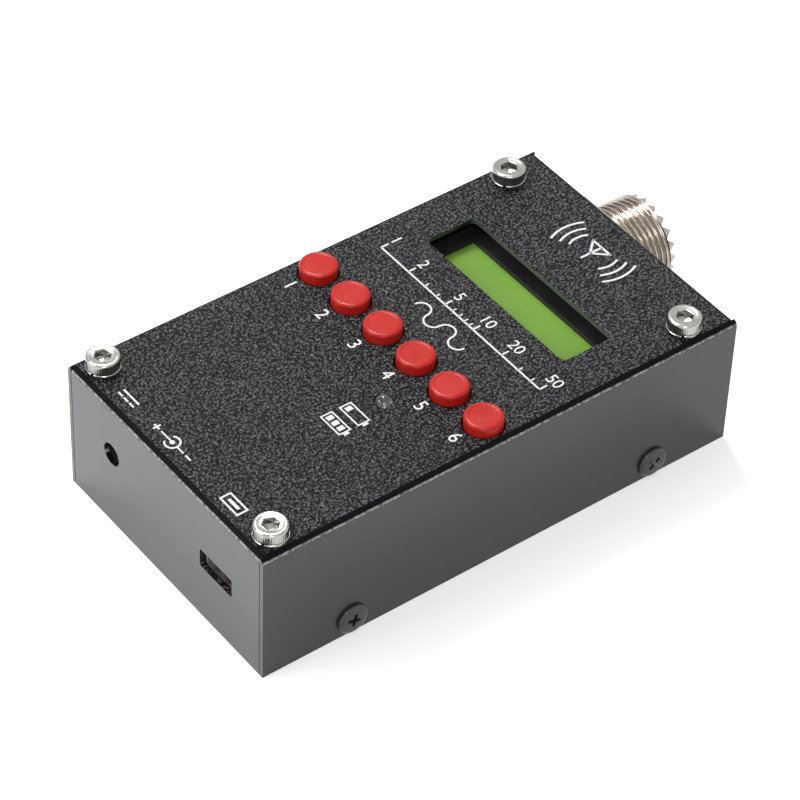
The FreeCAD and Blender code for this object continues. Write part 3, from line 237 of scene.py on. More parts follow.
def bright_steel(name, colour, rough):
    """Turned or plated metal with faint lines and smears."""
    material, tree, shader = fresh_material(name)
    coords = object_coords(tree)
    smear = noise(tree, 500.0, 4.0, coords=coords)
    stretch = add(tree, "ShaderNodeMapping")
    stretch.inputs["Scale"].default_value = (1.0, 1.0, 14.0)
    tree.links.new(coords, stretch.inputs["Vector"])
    lines = noise(tree, 1800.0, 2.0, coords=stretch.outputs["Vector"])
    colours = ramp(tree, smear, [(0.3, shade(colour, 0.86)), (0.7, shade(colour, 1.1))])
    tree.links.new(colours, shader.inputs["Base Color"])
    tree.links.new(spread(tree, smear, rough * 0.7, rough * 1.4), shader.inputs["Roughness"])
    tree.links.new(bump(tree, lines, 0.15, 0.00001), shader.inputs["Normal"])
    shader.inputs["Metallic"].default_value = 1.0
    return material


def display_face():
    """Yellow green display behind glass, with a faint grain."""
    material, tree, shader = fresh_material("display_face")
    coords = object_coords(tree)
    grain = noise(tree, 3500.0, 3.0, coords=coords)
    cloud = noise(tree, 90.0, 3.0, coords=coords)
    base = ramp(tree, cloud, [(0.3, (0.150, 0.300, 0.040)), (0.7, (0.175, 0.340, 0.050))])
    speck = ramp(tree, grain, [(0.35, (0.86, 0.86, 0.86)), (0.65, (1.0, 1.0, 1.0))])
    mix = add(tree, "ShaderNodeMix", data_type="RGBA", blend_type="MULTIPLY")
    mix.inputs[0].default_value = 1.0
    tree.links.new(base, mix.inputs[6])
    tree.links.new(speck, mix.inputs[7])
    tree.links.new(mix.outputs[2], shader.inputs["Base Color"])
    tree.links.new(spread(tree, grain, 0.3, 0.42), shader.inputs["Roughness"])
    tree.links.new(bump(tree, grain, 0.1, 0.00001), shader.inputs["Normal"])
    shader.inputs["Specular IOR Level"].default_value = 0.15
    return material


def clear_resin():
    material, tree, shader = fresh_material("clear_resin")
    ripple = noise(tree, 300.0, 1.0)
    tint = ramp(tree, ripple, [(0.3, (0.93, 0.94, 0.95)), (0.7, (1, 1, 1))])
    tree.links.new(tint, shader.inputs["Base Color"])
    tree.links.new(spread(tree, ripple, 0.0, 0.02), shader.inputs["Roughness"])
    tree.links.new(bump(tree, ripple, 0.02, 0.000005), shader.inputs["Normal"])
    shader.inputs["Transmission Weight"].default_value = 1.0
    shader.inputs["IOR"].default_value = 1.5
    return material


def panel_ink():
    material, tree, shader = fresh_material("panel_ink")
    coords = object_coords(tree)
    fine = noise(tree, 4000.0, 3.0, coords=coords)
    colours = ramp(tree, fine, [(0.25, (0.46, 0.46, 0.46)), (0.6, (0.74, 0.74, 0.73))])
    tree.links.new(colours, shader.inputs["Base Color"])
    tree.links.new(spread(tree, fine, 0.5, 0.7), shader.inputs["Roughness"])
    tree.links.new(bump(tree, fine, 0.3, 0.00004), shader.inputs["Normal"])
    return material


MATERIALS = {
    "case_paint": case_coat(),
    "floor_paint": grained("floor_coat", (0.03, 0.03, 0.032), 0.45, grain=2600.0, depth=0.00006),
    "screw_steel": bright_steel("stainless", (0.40, 0.39, 0.375), 0.2),
    "spacer_metal": bright_steel("plated_brass", (0.66, 0.64, 0.58), 0.28),
    "black_screw": grained("black_oxide", (0.022, 0.022, 0.024), 0.3, grain=3000.0, specular=0.6),
    "board_green": grained("solder_mask", (0.02, 0.12, 0.05), 0.35, grain=2500.0),
    "display_green": display_face(),
    "light_plastic": grained("light_guide", (0.35, 0.5, 0.2), 0.3),
    "bezel_black": grained("bezel_coat", (0.012, 0.012, 0.013), 0.5, grain=3500.0),
    "header_plastic": grained("black_nylon", (0.02, 0.02, 0.021), 0.45),
    "pin_metal": bright_steel("tinned_pins", (0.78, 0.72, 0.58), 0.25),
    "switch_metal": bright_steel("bare_sheet", (0.62, 0.61, 0.6), 0.3),
    "stem_plastic": grained("stem_nylon", (0.03, 0.03, 0.03), 0.45),
    "button_red": red_plastic(),
    "lamp_clear": clear_resin(),
    "coax_nickel": bright_steel("warm_nickel", (0.46, 0.41, 0.36), 0.2),
    "coax_white": grained("white_insulator", (0.8, 0.78, 0.72), 0.4),
    "contact_brass": bright_steel("plated_contact", (0.72, 0.56, 0.28), 0.25),
    "slider_plastic": grained("slider_nylon", (0.022, 0.022, 0.023), 0.4, grain=3000.0),
    "cell_foil": bright_steel("pouch_foil", (0.72, 0.73, 0.75), 0.35),
    "foam_grey": grained("foam_pad", (0.07, 0.07, 0.07), 0.9, grain=1500.0, depth=0.0001),
    "lead_sleeve": grained("lead_sleeve", (0.4, 0.02, 0.02), 0.45),
    "plug_white": grained("plug_nylon", (0.7, 0.68, 0.62), 0.5),
    "chip_black": grained("moulded_epoxy", (0.02, 0.02, 0.021), 0.5),
    "ferrite": grained("sintered_ferrite", (0.045, 0.045, 0.047), 0.6),
}
INK = panel_ink()

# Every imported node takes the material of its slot
NODE_SLOTS = {entry["node"]: entry["material_slot"] for entry in frame["record"]["subparts"]}
for node_name, node in frame["nodes"].items():
    node.data.materials.clear()
    node.data.materials.append(MATERIALS[NODE_SLOTS[node_name]])


# Mesh helpers

def piece_from(bm, name, slot, body=CASE, replaces=(), material=None, sharp=35.0):
    """Turns a bmesh into a piece that rides on a body."""
    bmesh.ops.recalc_face_normals(bm, faces=bm.faces)
    limit = math.radians(sharp)
    for face in bm.faces:
        face.smooth = True
    for edge in bm.edges:
        edge.smooth = len(edge.link_faces) != 2 or edge.calc_face_angle(0.0) < limit
    mesh = bpy.data.meshes.new(name)
    bm.to_mesh(mesh)
    bm.free()
    piece = bpy.data.objects.new(name, mesh)
    bpy.context.scene.collection.objects.link(piece)
    mesh.materials.append(material or MATERIALS[slot])
    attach(piece, body)
    if replaces:
        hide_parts(*replaces)
    return piece


def value_at(value, angle):
    return value(angle) if callable(value) else value


def ring_stack(bm, rings, segments, place, cap_start=True, cap_end=True, turn=0.0):
    """Skin over rings round local Z: (radius, height) pairs, numbers or functions of the angle."""
    loops = []
    for radius, height in rings:
        loop = []
        for i in range(segments):
            angle = 2 * math.pi * i / segments
            r = value_at(radius, angle)
            z = value_at(height, angle)
            point = Vector((r * math.cos(angle + turn), r * math.sin(angle + turn), z))
            loop.append(bm.verts.new(place @ point))
        loops.append(loop)
    for below, above in zip(loops, loops[1:]):
        for i in range(segments):
            j = (i + 1) % segments
            bm.faces.new((below[i], below[j], above[j], above[i]))
    for wanted, loop in ((cap_start, loops[0]), (cap_end, loops[-1])):
        if wanted:
            bm.faces.new(loop)


def arc_rings(radius, height, corner, steps, bulge=1.0):
    """Rings of a rounded outer rim: radius and height are the corner's outer limits."""
    rings = []
    for i in range(steps + 1):
        a = 0.5 * math.pi * i / steps
        rings.append((radius - corner * (1 - math.cos(a)), height - corner * bulge * (1 - math.sin(a))))
    return rings


def hexagon_radius(flats):
    """Radius of a hexagon, as a function of the angle."""
    sector = math.pi / 3

    def radius(angle):
        a = angle % sector - sector / 2
        return flats / 2 / math.cos(a)

    return radius


def solid_places(node):
    """Low and high corners of a node's separate solids, from its connected vertices."""
    bm = bmesh.new()
    bm.from_mesh(frame["nodes"][node].data)
    bmesh.ops.remove_doubles(bm, verts=bm.verts, dist=1e-7)
    seen = set()
    places = []
    for start in bm.verts:
        if start in seen:
            continue
        stack = [start]
        seen.add(start)
        low = start.co.copy()
        high = start.co.copy()
        while stack:
            vert = stack.pop()
            for k in range(3):
                low[k] = min(low[k], vert.co[k])
                high[k] = max(high[k], vert.co[k])
            for edge in vert.link_edges:
                other = edge.other_vert(vert)
                if other not in seen:
                    seen.add(other)
                    stack.append(other)
        places.append((low, high))
    bm.free()
    return places


# Hex socket cap screws with knurled heads

KNURLS = 48
KNURL_DEPTH = 0.045 * MM
SOCKET_FLATS = 2.5 * MM
SOCKET_DEPTH = 1.3 * MM
HEAD_HEIGHT = 2.0 * MM
HEAD_ROUND = 0.42 * MM
HEAD_RADIUS = 2.75 * MM
SHANK_RADIUS = 1.45 * MM


def knurled(radius):
    def value(angle):
        return radius - KNURL_DEPTH * (0.5 - 0.5 * math.cos(KNURLS * angle))

    return value


def cap_screw(bm, x, y, top, bottom, turn):
    seat = top - HEAD_HEIGHT
    socket = hexagon_radius(SOCKET_FLATS)
    wide = hexagon_radius(SOCKET_FLATS + 0.24 * MM)
    rings = [(SHANK_RADIUS * 0.8, bottom), (SHANK_RADIUS, bottom + 0.3 * MM), (SHANK_RADIUS, seat)]
    rings += [(HEAD_RADIUS - 0.12 * MM, seat), (knurled(HEAD_RADIUS), seat + 0.14 * MM)]
    rings.append((knurled(HEAD_RADIUS), top - HEAD_ROUND - 0.3 * MM))
    rings.append((HEAD_RADIUS, top - HEAD_ROUND - 0.15 * MM))
    rings += arc_rings(HEAD_RADIUS, top, HEAD_ROUND, 7)
    rings += [(HEAD_RADIUS * 0.78, top), (HEAD_RADIUS * 0.755, top - 0.03 * MM)]
    rings += [(wide, top - 0.04 * MM), (socket, top - 0.17 * MM)]
    rings += [(socket, top - SOCKET_DEPTH), (0.15 * MM, top - SOCKET_DEPTH - 0.4 * MM)]
    ring_stack(bm, rings, KNURLS * 6, Matrix.Translation((x, y, 0)) @ Matrix.Rotation(turn, 4, "Z"))


def make_cap_screws():
    bm = bmesh.new()
    rng = random.Random(4)
    for low, high in solid_places("case_screws"):
        x = (low.x + high.x) / 2
        y = (low.y + high.y) / 2
        cap_screw(bm, x, y, high.z, low.z, rng.uniform(0, math.pi / 3))
    piece_from(bm, "panel_screws", "screw_steel", replaces=["case_screws"], sharp=28)


def make_lock_washers():
    """Spring washers: one turn of square wire whose ends stand a little apart."""
    bm = bmesh.new()
    gap = math.radians(10)
    steps = 72
    for number, (low, high) in enumerate(solid_places("lock_washers")):
        cx = (low.x + high.x) / 2
        cy = (low.y + high.y) / 2
        outer = (high.x - low.x) / 2
        inner = 1.65 * MM
        start = math.radians(-70 + 9 * number)
        loops = []
        for i in range(steps + 1):
            part = i / steps
            angle = start + gap / 2 + part * (2 * math.pi - gap)
            lift = 0.02 * MM * (1 - 2 * part)
            bottom = low.z + 0.03 * MM + lift
            top = high.z - 0.03 * MM + lift
            edge = 0.08 * MM
            section = [
                (inner, bottom), (outer - edge, bottom), (outer, bottom + edge),
                (outer, top - edge), (outer - edge, top), (inner, top),
            ]
            along = math.cos(angle)
            across = math.sin(angle)
            loops.append([bm.verts.new((cx + r * along, cy + r * across, z)) for r, z in section])
        count = len(loops[0])
        for a, b in zip(loops, loops[1:]):
            for i in range(count):
                j = (i + 1) % count
                bm.faces.new((a[i], a[j], b[j], b[i]))
        bm.faces.new(loops[0])
        bm.faces.new(list(reversed(loops[-1])))
    piece_from(bm, "spring_washers", "screw_steel", replaces=["lock_washers"])


# Red button caps

def make_button_cap(number):
    node = "button_%d_cap" % number
    low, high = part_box(node)
    centre = middle(node)
    radius = (high[0] - low[0]) / 2
    top = high[2]
    bottom = low[2]
    bore = 1.7 * MM
    rings = [(bore, bottom + 5.0 * MM), (bore, bottom)]
    rings += [(radius - 0.1 * MM, bottom), (radius, bottom + 0.1 * MM)]
    rings += [(r, z - 0.07 * MM) for r, z in arc_rings(radius, top, 0.46 * MM, 8, 1.15)]
    rings += [
        (radius - 0.54 * MM, top - 0.055 * MM),
        (radius - 0.60 * MM, top - 0.01 * MM),
        (radius - 0.66 * MM, top - 0.005 * MM),
        (radius - 0.74 * MM, top - 0.04 * MM),
        (radius - 0.86 * MM, top - 0.085 * MM),
        (radius - 0.90 * MM, top - 0.09 * MM),
        (radius - 0.95 * MM, top - 0.09 * MM),
        (0.3 * MM, top - 0.09 * MM),
    ]
    bm = bmesh.new()
    ring_stack(bm, rings, 96, Matrix.Translation((centre.x, centre.y, 0)))
    piece_from(bm, "red_cap_%d" % number, "button_red", "button_%d" % number, [node], sharp=40)


# Side screws: low domed heads with a cross recess

SIDE_HEAD = 0.85 * MM
BOX_FACES = ((0, 1, 2, 3), (7, 6, 5, 4), (0, 4, 5, 1), (1, 5, 6, 2), (2, 6, 7, 3), (3, 7, 4, 0))


def cross_cutter(bm, place):
    """Tapered cross that the recess is cut with."""
    arm = 1.45 * MM
    half = 0.38 * MM
    depth = 1.05 * MM
    for turn in (0.0, math.pi / 2):
        spin = place @ Matrix.Rotation(turn, 4, "Z")
        corners = []
        for z, a, h in ((0.3 * MM, arm, half), (-depth, arm * 0.45, half * 0.6)):
            for x, y in ((-a, -h), (a, -h), (a, h), (-a, h)):
                corners.append(bm.verts.new(spin @ Vector((x, y, z))))
        for quad in BOX_FACES:
            bm.faces.new([corners[k] for k in quad])


def boolean_cut(target, cutter):
    """Cuts the cutter out of the target and removes the cutter."""
    modifier = target.modifiers.new("cut", "BOOLEAN")
    modifier.operation = "DIFFERENCE"
    modifier.solver = "EXACT"
    modifier.use_self = True
    modifier.object = cutter
    graph = bpy.context.evaluated_depsgraph_get()
    cut = bpy.data.meshes.new_from_object(target.evaluated_get(graph))
    target.modifiers.clear()
    old = target.data
    target.data = cut
    bpy.data.meshes.remove(old)
    bpy.data.objects.remove(cutter)


def plain_object(bm, name):
    bmesh.ops.recalc_face_normals(bm, faces=bm.faces)
    mesh = bpy.data.meshes.new(name)
    bm.to_mesh(mesh)
    bm.free()
    made = bpy.data.objects.new(name, mesh)
    bpy.context.scene.collection.objects.link(made)
    return made


def make_side_screws():
    rng = random.Random(11)
    result = bmesh.new()
    for low, high in solid_places("side_screws"):
        side = 1 if high.x > 0 else -1
        face = high.x if side > 0 else low.x
        seat = abs(face) - SIDE_HEAD
        centre = Vector((side * seat, (low.y + high.y) / 2, (low.z + high.z) / 2))
        radius = (high.y - low.y) / 2
        length = abs(seat) - (abs(low.x) if side > 0 else abs(high.x))
        place = Matrix.Translation(centre) @ Matrix.Rotation(side * math.pi / 2, 4, "Y")
        place = place @ Matrix.Rotation(rng.uniform(0.1, 1.4), 4, "Z")
        rings = [(1.1 * MM, -length), (1.45 * MM, 0.35 * MM - length), (1.45 * MM, 0.0)]
        rings += [(radius - 0.05 * MM, 0.0), (radius, 0.06 * MM), (radius, 0.32 * MM)]
        steps = 8
        for i in range(1, steps + 1):
            a = 0.5 * math.pi * i / steps
            rings.append((radius * (0.62 + 0.38 * math.cos(a)), (0.32 + 0.45 * math.sin(a)) * MM))
        rings += [(radius * 0.4, 0.82 * MM), (0.02 * MM, SIDE_HEAD)]
        bm = bmesh.new()
        ring_stack(bm, rings, 72, place)
        screw = plain_object(bm, "screw_blank")
        cutter_mesh = bmesh.new()
        cross_cutter(cutter_mesh, place @ Matrix.Translation((0, 0, SIDE_HEAD)))
        boolean_cut(screw, plain_object(cutter_mesh, "cross_blank"))
        result.from_mesh(screw.data)
        bpy.data.objects.remove(screw)
    piece_from(result, "flap_screws", "black_screw", replaces=["side_screws"], sharp=30)


# Coaxial socket with a real helical thread

THREAD_PITCH = 25.4 / 24 * MM
THREAD_DEPTH = 0.6 * MM
THREAD_CREST = 0.22
THREAD_ROOT = 0.12
COAX_RADIUS = 7.94 * MM
COAX_MEAN_RADIUS = 7.6 * MM
COAX_BORE = 6.1 * MM
RIM_TEETH = 20
TOOTH_HEIGHT = 1.3 * MM
TOOTH_PHASE = math.radians(11.4)


def thread_depth(turns):
    """Depth of the groove at a phase of 0 to 1 along one pitch."""
    phase = turns % 1.0
    crest = THREAD_CREST / 2
    root = THREAD_ROOT / 2
    away = min(phase, 1.0 - phase)
    if away < crest:
        return 0.0
    if away > 0.5 - root:
        return 1.0
    return (away - crest) / (0.5 - root - crest)


def tooth_height(angle):
    """Height of the rim's teeth round the axis: narrow tops, sloped flanks, pointed gaps."""
    phase = ((angle - TOOTH_PHASE) * RIM_TEETH / (2 * math.pi)) % 1.0
    away = min(phase, 1.0 - phase)
    return TOOTH_HEIGHT * min(1.0, max(0.0, (0.5 - away) / 0.46))


def make_coax_body():
    low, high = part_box("coax_body")
    centre = middle("coax_body")
    back = low[1]
    tip = high[1]
    rim = tip - TOOTH_HEIGHT
    thread_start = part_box("coax_nut")[1][1] + 0.3 * MM
    segments = RIM_TEETH * 16
    per_turn = 12

    def thread_ring(height):
        fade = min(1.0, (rim - height) / (0.5 * THREAD_PITCH))

        def radius(angle):
            turns = (height - thread_start) / THREAD_PITCH - angle / (2 * math.pi)
            return COAX_RADIUS - THREAD_DEPTH * thread_depth(turns) * max(0.0, fade)

        return radius

    rings = [(COAX_BORE, back), (COAX_MEAN_RADIUS, back), (COAX_MEAN_RADIUS, thread_start)]
    count = int((rim - thread_start) / THREAD_PITCH * per_turn)
    for i in range(count + 1):
        height = thread_start + (rim - thread_start) * i / count
        rings.append((thread_ring(height), height))
    crown = COAX_RADIUS - THREAD_DEPTH / 2
    rings.append((crown, lambda angle: rim + 0.02 * MM))
    rings.append((crown, lambda angle: rim + 0.03 * MM + tooth_height(angle) * 0.96))
    rings.append((crown - 0.12 * MM, lambda angle: rim + 0.03 * MM + tooth_height(angle)))
    rings.append((COAX_BORE + 0.1 * MM, lambda angle: rim + 0.03 * MM + tooth_height(angle)))
    rings.append((COAX_BORE, lambda angle: rim + 0.03 * MM + tooth_height(angle) * 0.94))
    rings.append((COAX_BORE, rim - 0.6 * MM))
    rings.append((COAX_BORE, back))
    bm = bmesh.new()
    place = Matrix.Translation((centre.x, 0, centre.z)) @ Matrix.Rotation(-math.pi / 2, 4, "X")
    ring_stack(bm, rings, segments, place, cap_start=False, cap_end=False)
    flange_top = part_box("ground_tag")[1][1] - 0.5 * MM
    flats = high[0] - low[0]
    outer = hexagon_radius(flats)
    inner = COAX_MEAN_RADIUS
    flange = [(inner, back), (outer, back), (outer, flange_top), (inner, flange_top)]
    ring_stack(bm, flange, 72, place, cap_start=False, cap_end=False, turn=math.pi / 3)
    bmesh.ops.remove_doubles(bm, verts=bm.verts, dist=1e-8)
    piece_from(bm, "threaded_socket", "coax_nickel", replaces=["coax_body"], sharp=50)


# Charge lamp: clear dome over a dark cup that paints the shade inside the dome, and a bright crescent
# that paints the highlight of refracted light

# Turn of the painted crescent highlight, toward the near side
CRESCENT_TURN = math.radians(-38)


def make_lamp():
    low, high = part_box("charge_lamp")
    centre = middle("charge_lamp")
    flange = (high[0] - low[0]) / 2
    radius = 1.5 * MM
    dome = high[2] - radius + 0.4 * MM
    rings = [(flange - 0.1 * MM, low[2]), (flange, low[2] + 0.1 * MM), (flange, low[2] + 0.9 * MM)]
    rings += [(radius + 0.05 * MM, low[2] + 1.0 * MM), (radius, low[2] + 1.1 * MM)]
    steps = 16
    for i in range(steps + 1):
        a = 0.5 * math.pi * i / steps
        rings.append((max(radius * math.cos(a), 0.01 * MM), dome + radius * math.sin(a)))
    bm = bmesh.new()
    place = Matrix.Translation((centre.x, centre.y, 0))
    ring_stack(bm, rings, 64, place)
    piece_from(bm, "lamp_dome", "lamp_clear", replaces=["charge_lamp"], sharp=60)
    # Painted shade: the cup is dark plastic so the dome looks dark inside, standing in for the dark
    # surroundings the dome reflects.
    bm = bmesh.new()
    foot = dome - 0.85 * MM
    cup = [(0.05, 0.2), (0.9, 0.35), (1.32, 0.7), (1.28, 0.72), (0.85, 0.42), (0.05, 0.28)]
    ring_stack(bm, [(r * MM, foot + z * MM) for r, z in cup], 48, place)
    piece_from(bm, "lamp_cup", "stem_plastic", sharp=40)
    # Painted highlight: a bright crescent ring at the dome's base stands in for the light the dome
    # refracts there.
    bm = bmesh.new()

    def inner(angle):
        return (1.29 - 0.4 * max(0.0, math.cos(angle - CRESCENT_TURN)) ** 3) * MM

    outer = 1.31 * MM
    under = foot + 0.74 * MM
    over = foot + 0.80 * MM
    crescent = [(outer, under), (outer, over), (inner, over), (inner, under), (outer, under)]
    ring_stack(bm, crescent, 64, place, cap_start=False, cap_end=False)
    bmesh.ops.remove_doubles(bm, verts=bm.verts, dist=1e-8)
    piece_from(bm, "lamp_painted_crescent", "pin_metal", sharp=40)


# Printed marks: plain numbers and everyday symbols

INK_LIFT = 0.004 * MM
INK_HEIGHT = 0.016 * MM


def ink_polygon(bm, points, place):
    """Flat raised patch with the given outline, points in metres."""
    low = [bm.verts.new(place @ Vector((x, y, INK_LIFT))) for x, y in points]
    high = [bm.verts.new(place @ Vector((x, y, INK_LIFT + INK_HEIGHT))) for x, y in points]
    bm.faces.new(high)
    bm.faces.new(list(reversed(low)))
    count = len(points)
    for i in range(count):
        j = (i + 1) % count
        bm.faces.new((low[i], low[j], high[j], high[i]))


def ink_bar(bm, start, end, width, place):
    a = Vector(start)
    b = Vector(end)
    side = (b - a).orthogonal().normalized() * width / 2
    ink_polygon(bm, [(a + side)[:], (a - side)[:], (b - side)[:], (b + side)[:]], place)


def ink_arc(bm, centre, radius, width, start, stop, place, steps=28):
    """Part of a ring, angles in degrees."""
    for i in range(steps):
        a = math.radians(start + (stop - start) * i / steps)
        b = math.radians(start + (stop - start) * (i + 1) / steps)
        inner = radius - width / 2
        outer = radius + width / 2
        points = [
            (centre[0] + outer * math.cos(a), centre[1] + outer * math.sin(a)),
            (centre[0] + outer * math.cos(b), centre[1] + outer * math.sin(b)),
            (centre[0] + inner * math.cos(b), centre[1] + inner * math.sin(b)),
            (centre[0] + inner * math.cos(a), centre[1] + inner * math.sin(a)),
        ]
        ink_polygon(bm, points, place)


def ink_frame(bm, x0, y0, x1, y1, width, place):
    half = width / 2
    ink_bar(bm, (x0 - half, y0), (x1 + half, y0), width, place)
    ink_bar(bm, (x0 - half, y1), (x1 + half, y1), width, place)
    ink_bar(bm, (x0, y0 + half), (x0, y1 - half), width, place)
    ink_bar(bm, (x1, y0 + half), (x1, y1 - half), width, place)


def ink_text(bm, words, x, y, size, place):
    """Plain letters or numbers, centred at x, y."""
    curve = bpy.data.curves.new("words", "FONT")
    curve.body = words
    curve.size = size
    curve.align_x = "CENTER"
    curve.align_y = "CENTER"
    curve.extrude = INK_HEIGHT / 2
    curve.resolution_u = 4
    shape = bpy.data.objects.new("words", curve)
    bpy.context.scene.collection.objects.link(shape)
    graph = bpy.context.evaluated_depsgraph_get()
    graph.update()
    mesh = bpy.data.meshes.new_from_object(shape.evaluated_get(graph))
    mesh.transform(place @ Matrix.Translation((x, y, INK_LIFT + INK_HEIGHT / 2)))
    bm.from_mesh(mesh)
    bpy.data.objects.remove(shape)
    bpy.data.curves.remove(curve)
    bpy.data.meshes.remove(mesh)


PANEL_PLACE = Matrix.Translation((0, 0, PANEL))
LABEL_DROP = 5.6 * MM
LABEL_SIZE = 3.4 * MM
STROKE = 0.32 * MM
SCALE_LINE = 10.4 * MM
SCALE_REACH = 20.5 * MM
WAVE_LINE = 6.6 * MM
WAVE_RADIUS = 1.6 * MM
ANTENNA_FOOT = 35.2 * MM
ANTENNA_TOP = 39.6 * MM
EDGE_MARK_LINE = -42.6 * MM


def make_button_numbers():
    bm = bmesh.new()
    for number in range(1, 7):
        centre = middle("button_%d_cap" % number)
        ink_text(bm, str(number), centre.x, centre.y - LABEL_DROP, LABEL_SIZE, PANEL_PLACE)
    piece_from(bm, "button_numbers", "plug_white", material=INK)


def make_scale():
    """Plain scale between the window and the buttons: a line, ticks and numbers, over a wave."""
    bm = bmesh.new()
    base = SCALE_LINE
    reach = SCALE_REACH
    ink_bar(bm, (-reach, base), (reach, base), STROKE, PANEL_PLACE)
    numbers = (1, 2, 5, 10, 20, 50)
    widest = math.log(numbers[-1])
    for value in numbers:
        x = -reach + 2 * reach * math.log(value) / widest
        ink_bar(bm, (x, base), (x, base + 1.5 * MM), STROKE, PANEL_PLACE)
        ink_text(bm, str(value), x, base + 3.0 * MM, 3.0 * MM, PANEL_PLACE)
    for value in [3, 4] + list(range(6, 10)) + [30, 40]:
        x = -reach + 2 * reach * math.log(value) / widest
        ink_bar(bm, (x, base), (x, base + 0.9 * MM), STROKE * 0.8, PANEL_PLACE)
    for half_wave in range(4):
        centre = ((half_wave - 1.5) * 2 * WAVE_RADIUS, WAVE_LINE)
        start = 0 if half_wave % 2 == 0 else 180
        ink_arc(bm, centre, WAVE_RADIUS, STROKE, start, start + 180, PANEL_PLACE)
    piece_from(bm, "panel_scale", "plug_white", material=INK)


def make_antenna_mark():
    """Circuit symbol of an antenna beside the socket, with two waves each side."""
    bm = bmesh.new()
    y = ANTENNA_FOOT
    top = ANTENNA_TOP
    ink_bar(bm, (0, y), (0, top), STROKE * 1.2, PANEL_PLACE)
    wing = 2.2 * MM
    for side in (-1, 1):
        ink_bar(bm, (0, y + 2.0 * MM), (side * wing, top), STROKE * 1.2, PANEL_PLACE)
        facing = 0 if side > 0 else 180
        for radius in (4.2 * MM, 5.8 * MM, 7.4 * MM):
            ink_arc(bm, (0, y + 2.6 * MM), radius, STROKE * 1.2, facing - 28, facing + 28, PANEL_PLACE)
    ink_bar(bm, (-wing - STROKE / 2, top), (wing + STROKE / 2, top), STROKE * 1.2, PANEL_PLACE)
    piece_from(bm, "antenna_mark", "plug_white", material=INK)


def make_charge_marks():
    """Two small battery outlines below the lamp, one part full and one full."""
    bm = bmesh.new()
    lamp = middle("charge_lamp")
    for row, bars in ((0, 1), (1, 3)):
        y = lamp.y - (5.4 + 3.6 * row) * MM
        x = lamp.x - 2.6 * MM
        ink_frame(bm, x, y - 1.05 * MM, x + 4.8 * MM, y + 1.05 * MM, STROKE * 0.8, PANEL_PLACE)
        tip = x + 5.2 * MM
        ink_bar(bm, (tip, y - 0.5 * MM), (tip, y + 0.5 * MM), STROKE * 1.4, PANEL_PLACE)
        for i in range(bars):
            across = x + (0.95 + 1.4 * i) * MM
            ink_bar(bm, (across, y - 0.6 * MM), (across, y + 0.6 * MM), 0.9 * MM, PANEL_PLACE)
    piece_from(bm, "charge_marks", "plug_white", material=INK)


def make_inlet_marks():
    """Direct current sign and plug polarity along the edge above the inlet."""
    bm = bmesh.new()
    y = EDGE_MARK_LINE
    left = middle("inlet_pin").x - 2.0 * MM
    ink_bar(bm, (left, y + 0.5 * MM), (left + 4.2 * MM, y + 0.5 * MM), STROKE, PANEL_PLACE)
    for i in range(3):
        start = left + 1.5 * MM * i
        ink_bar(bm, (start, y - 0.5 * MM), (start + 1.2 * MM, y - 0.5 * MM), STROKE, PANEL_PLACE)
    x = middle("inlet_pin").x + 12.0 * MM
    ink_arc(bm, (x, y), 1.25 * MM, STROKE, -140, 140, PANEL_PLACE)
    ink_arc(bm, (x, y), 0.22 * MM, 0.42 * MM, 0, 360, PANEL_PLACE)
    ink_bar(bm, (x - 3.0 * MM, y), (x - 0.44 * MM, y), STROKE * 0.8, PANEL_PLACE)
    ink_bar(bm, (x + 1.42 * MM, y), (x + 3.0 * MM, y), STROKE * 0.8, PANEL_PLACE)
    arm = 0.7 * MM
    for side in (-1, 1):
        across = x + side * 4.2 * MM
        ink_bar(bm, (across - arm, y), (across + arm, y), STROKE, PANEL_PLACE)
        if side < 0:
            for end in (-1, 1):
                near = y + end * STROKE / 2
                ink_bar(bm, (across, near), (across, y + end * arm), STROKE, PANEL_PLACE)
    piece_from(bm, "inlet_marks", "plug_white", material=INK)


def make_socket_mark():
    """Small port outline on the panel above the data socket."""
    bm = bmesh.new()
    x = middle("usb_shell").x
    y = EDGE_MARK_LINE
    ink_frame(bm, x - 2.2 * MM, y - 0.95 * MM, x + 2.2 * MM, y + 0.95 * MM, STROKE, PANEL_PLACE)
    ink_bar(bm, (x - 1.3 * MM, y), (x + 1.3 * MM, y), 0.55 * MM, PANEL_PLACE)
    piece_from(bm, "socket_mark", "plug_white", material=INK)


def make_power_words():
    """ON and OFF above the slide switch, on the end flap."""
    bm = bmesh.new()
    outward = Matrix.Rotation(math.pi, 4, "Z") @ Matrix.Rotation(math.pi / 2, 4, "X")
    place = Matrix.Translation((0, COVER_HIGH[1], 0)) @ outward
    centre = middle("power_frame")
    ink_text(bm, "ON", -(centre.x + 3.2 * MM), centre.z + 4.0 * MM, 2.4 * MM, place)
    ink_text(bm, "OFF", -(centre.x - 3.2 * MM), centre.z + 4.0 * MM, 2.4 * MM, place)
    piece_from(bm, "power_words", "plug_white", material=INK)


make_cap_screws()
make_lock_washers()
for button in range(1, 7):
    make_button_cap(button)
make_side_screws()
make_coax_body()
make_lamp()
make_button_numbers()
make_scale()
make_antenna_mark()
make_charge_marks()
make_inlet_marks()
make_socket_mark()
make_power_words()


# Studio

WORLD_FILL = 0.4
FLOOR_GLOW = 0.42
FLOOR_HALF_SIZE = 3.0
LIGHT_TARGET = Vector((0, 0, 0.02))
SOFTBOXES = [
    ("back_softbox", (-0.19, 0.075, 0.375), (0.11, 0.11), 1.2),
    ("front_softbox", (-0.25, -0.6, 0.55), (0.5, 0.35), 3.3),
    ("right_softbox", (0.6, -0.35, 0.6), (0.3, 0.3), 2.2),
]


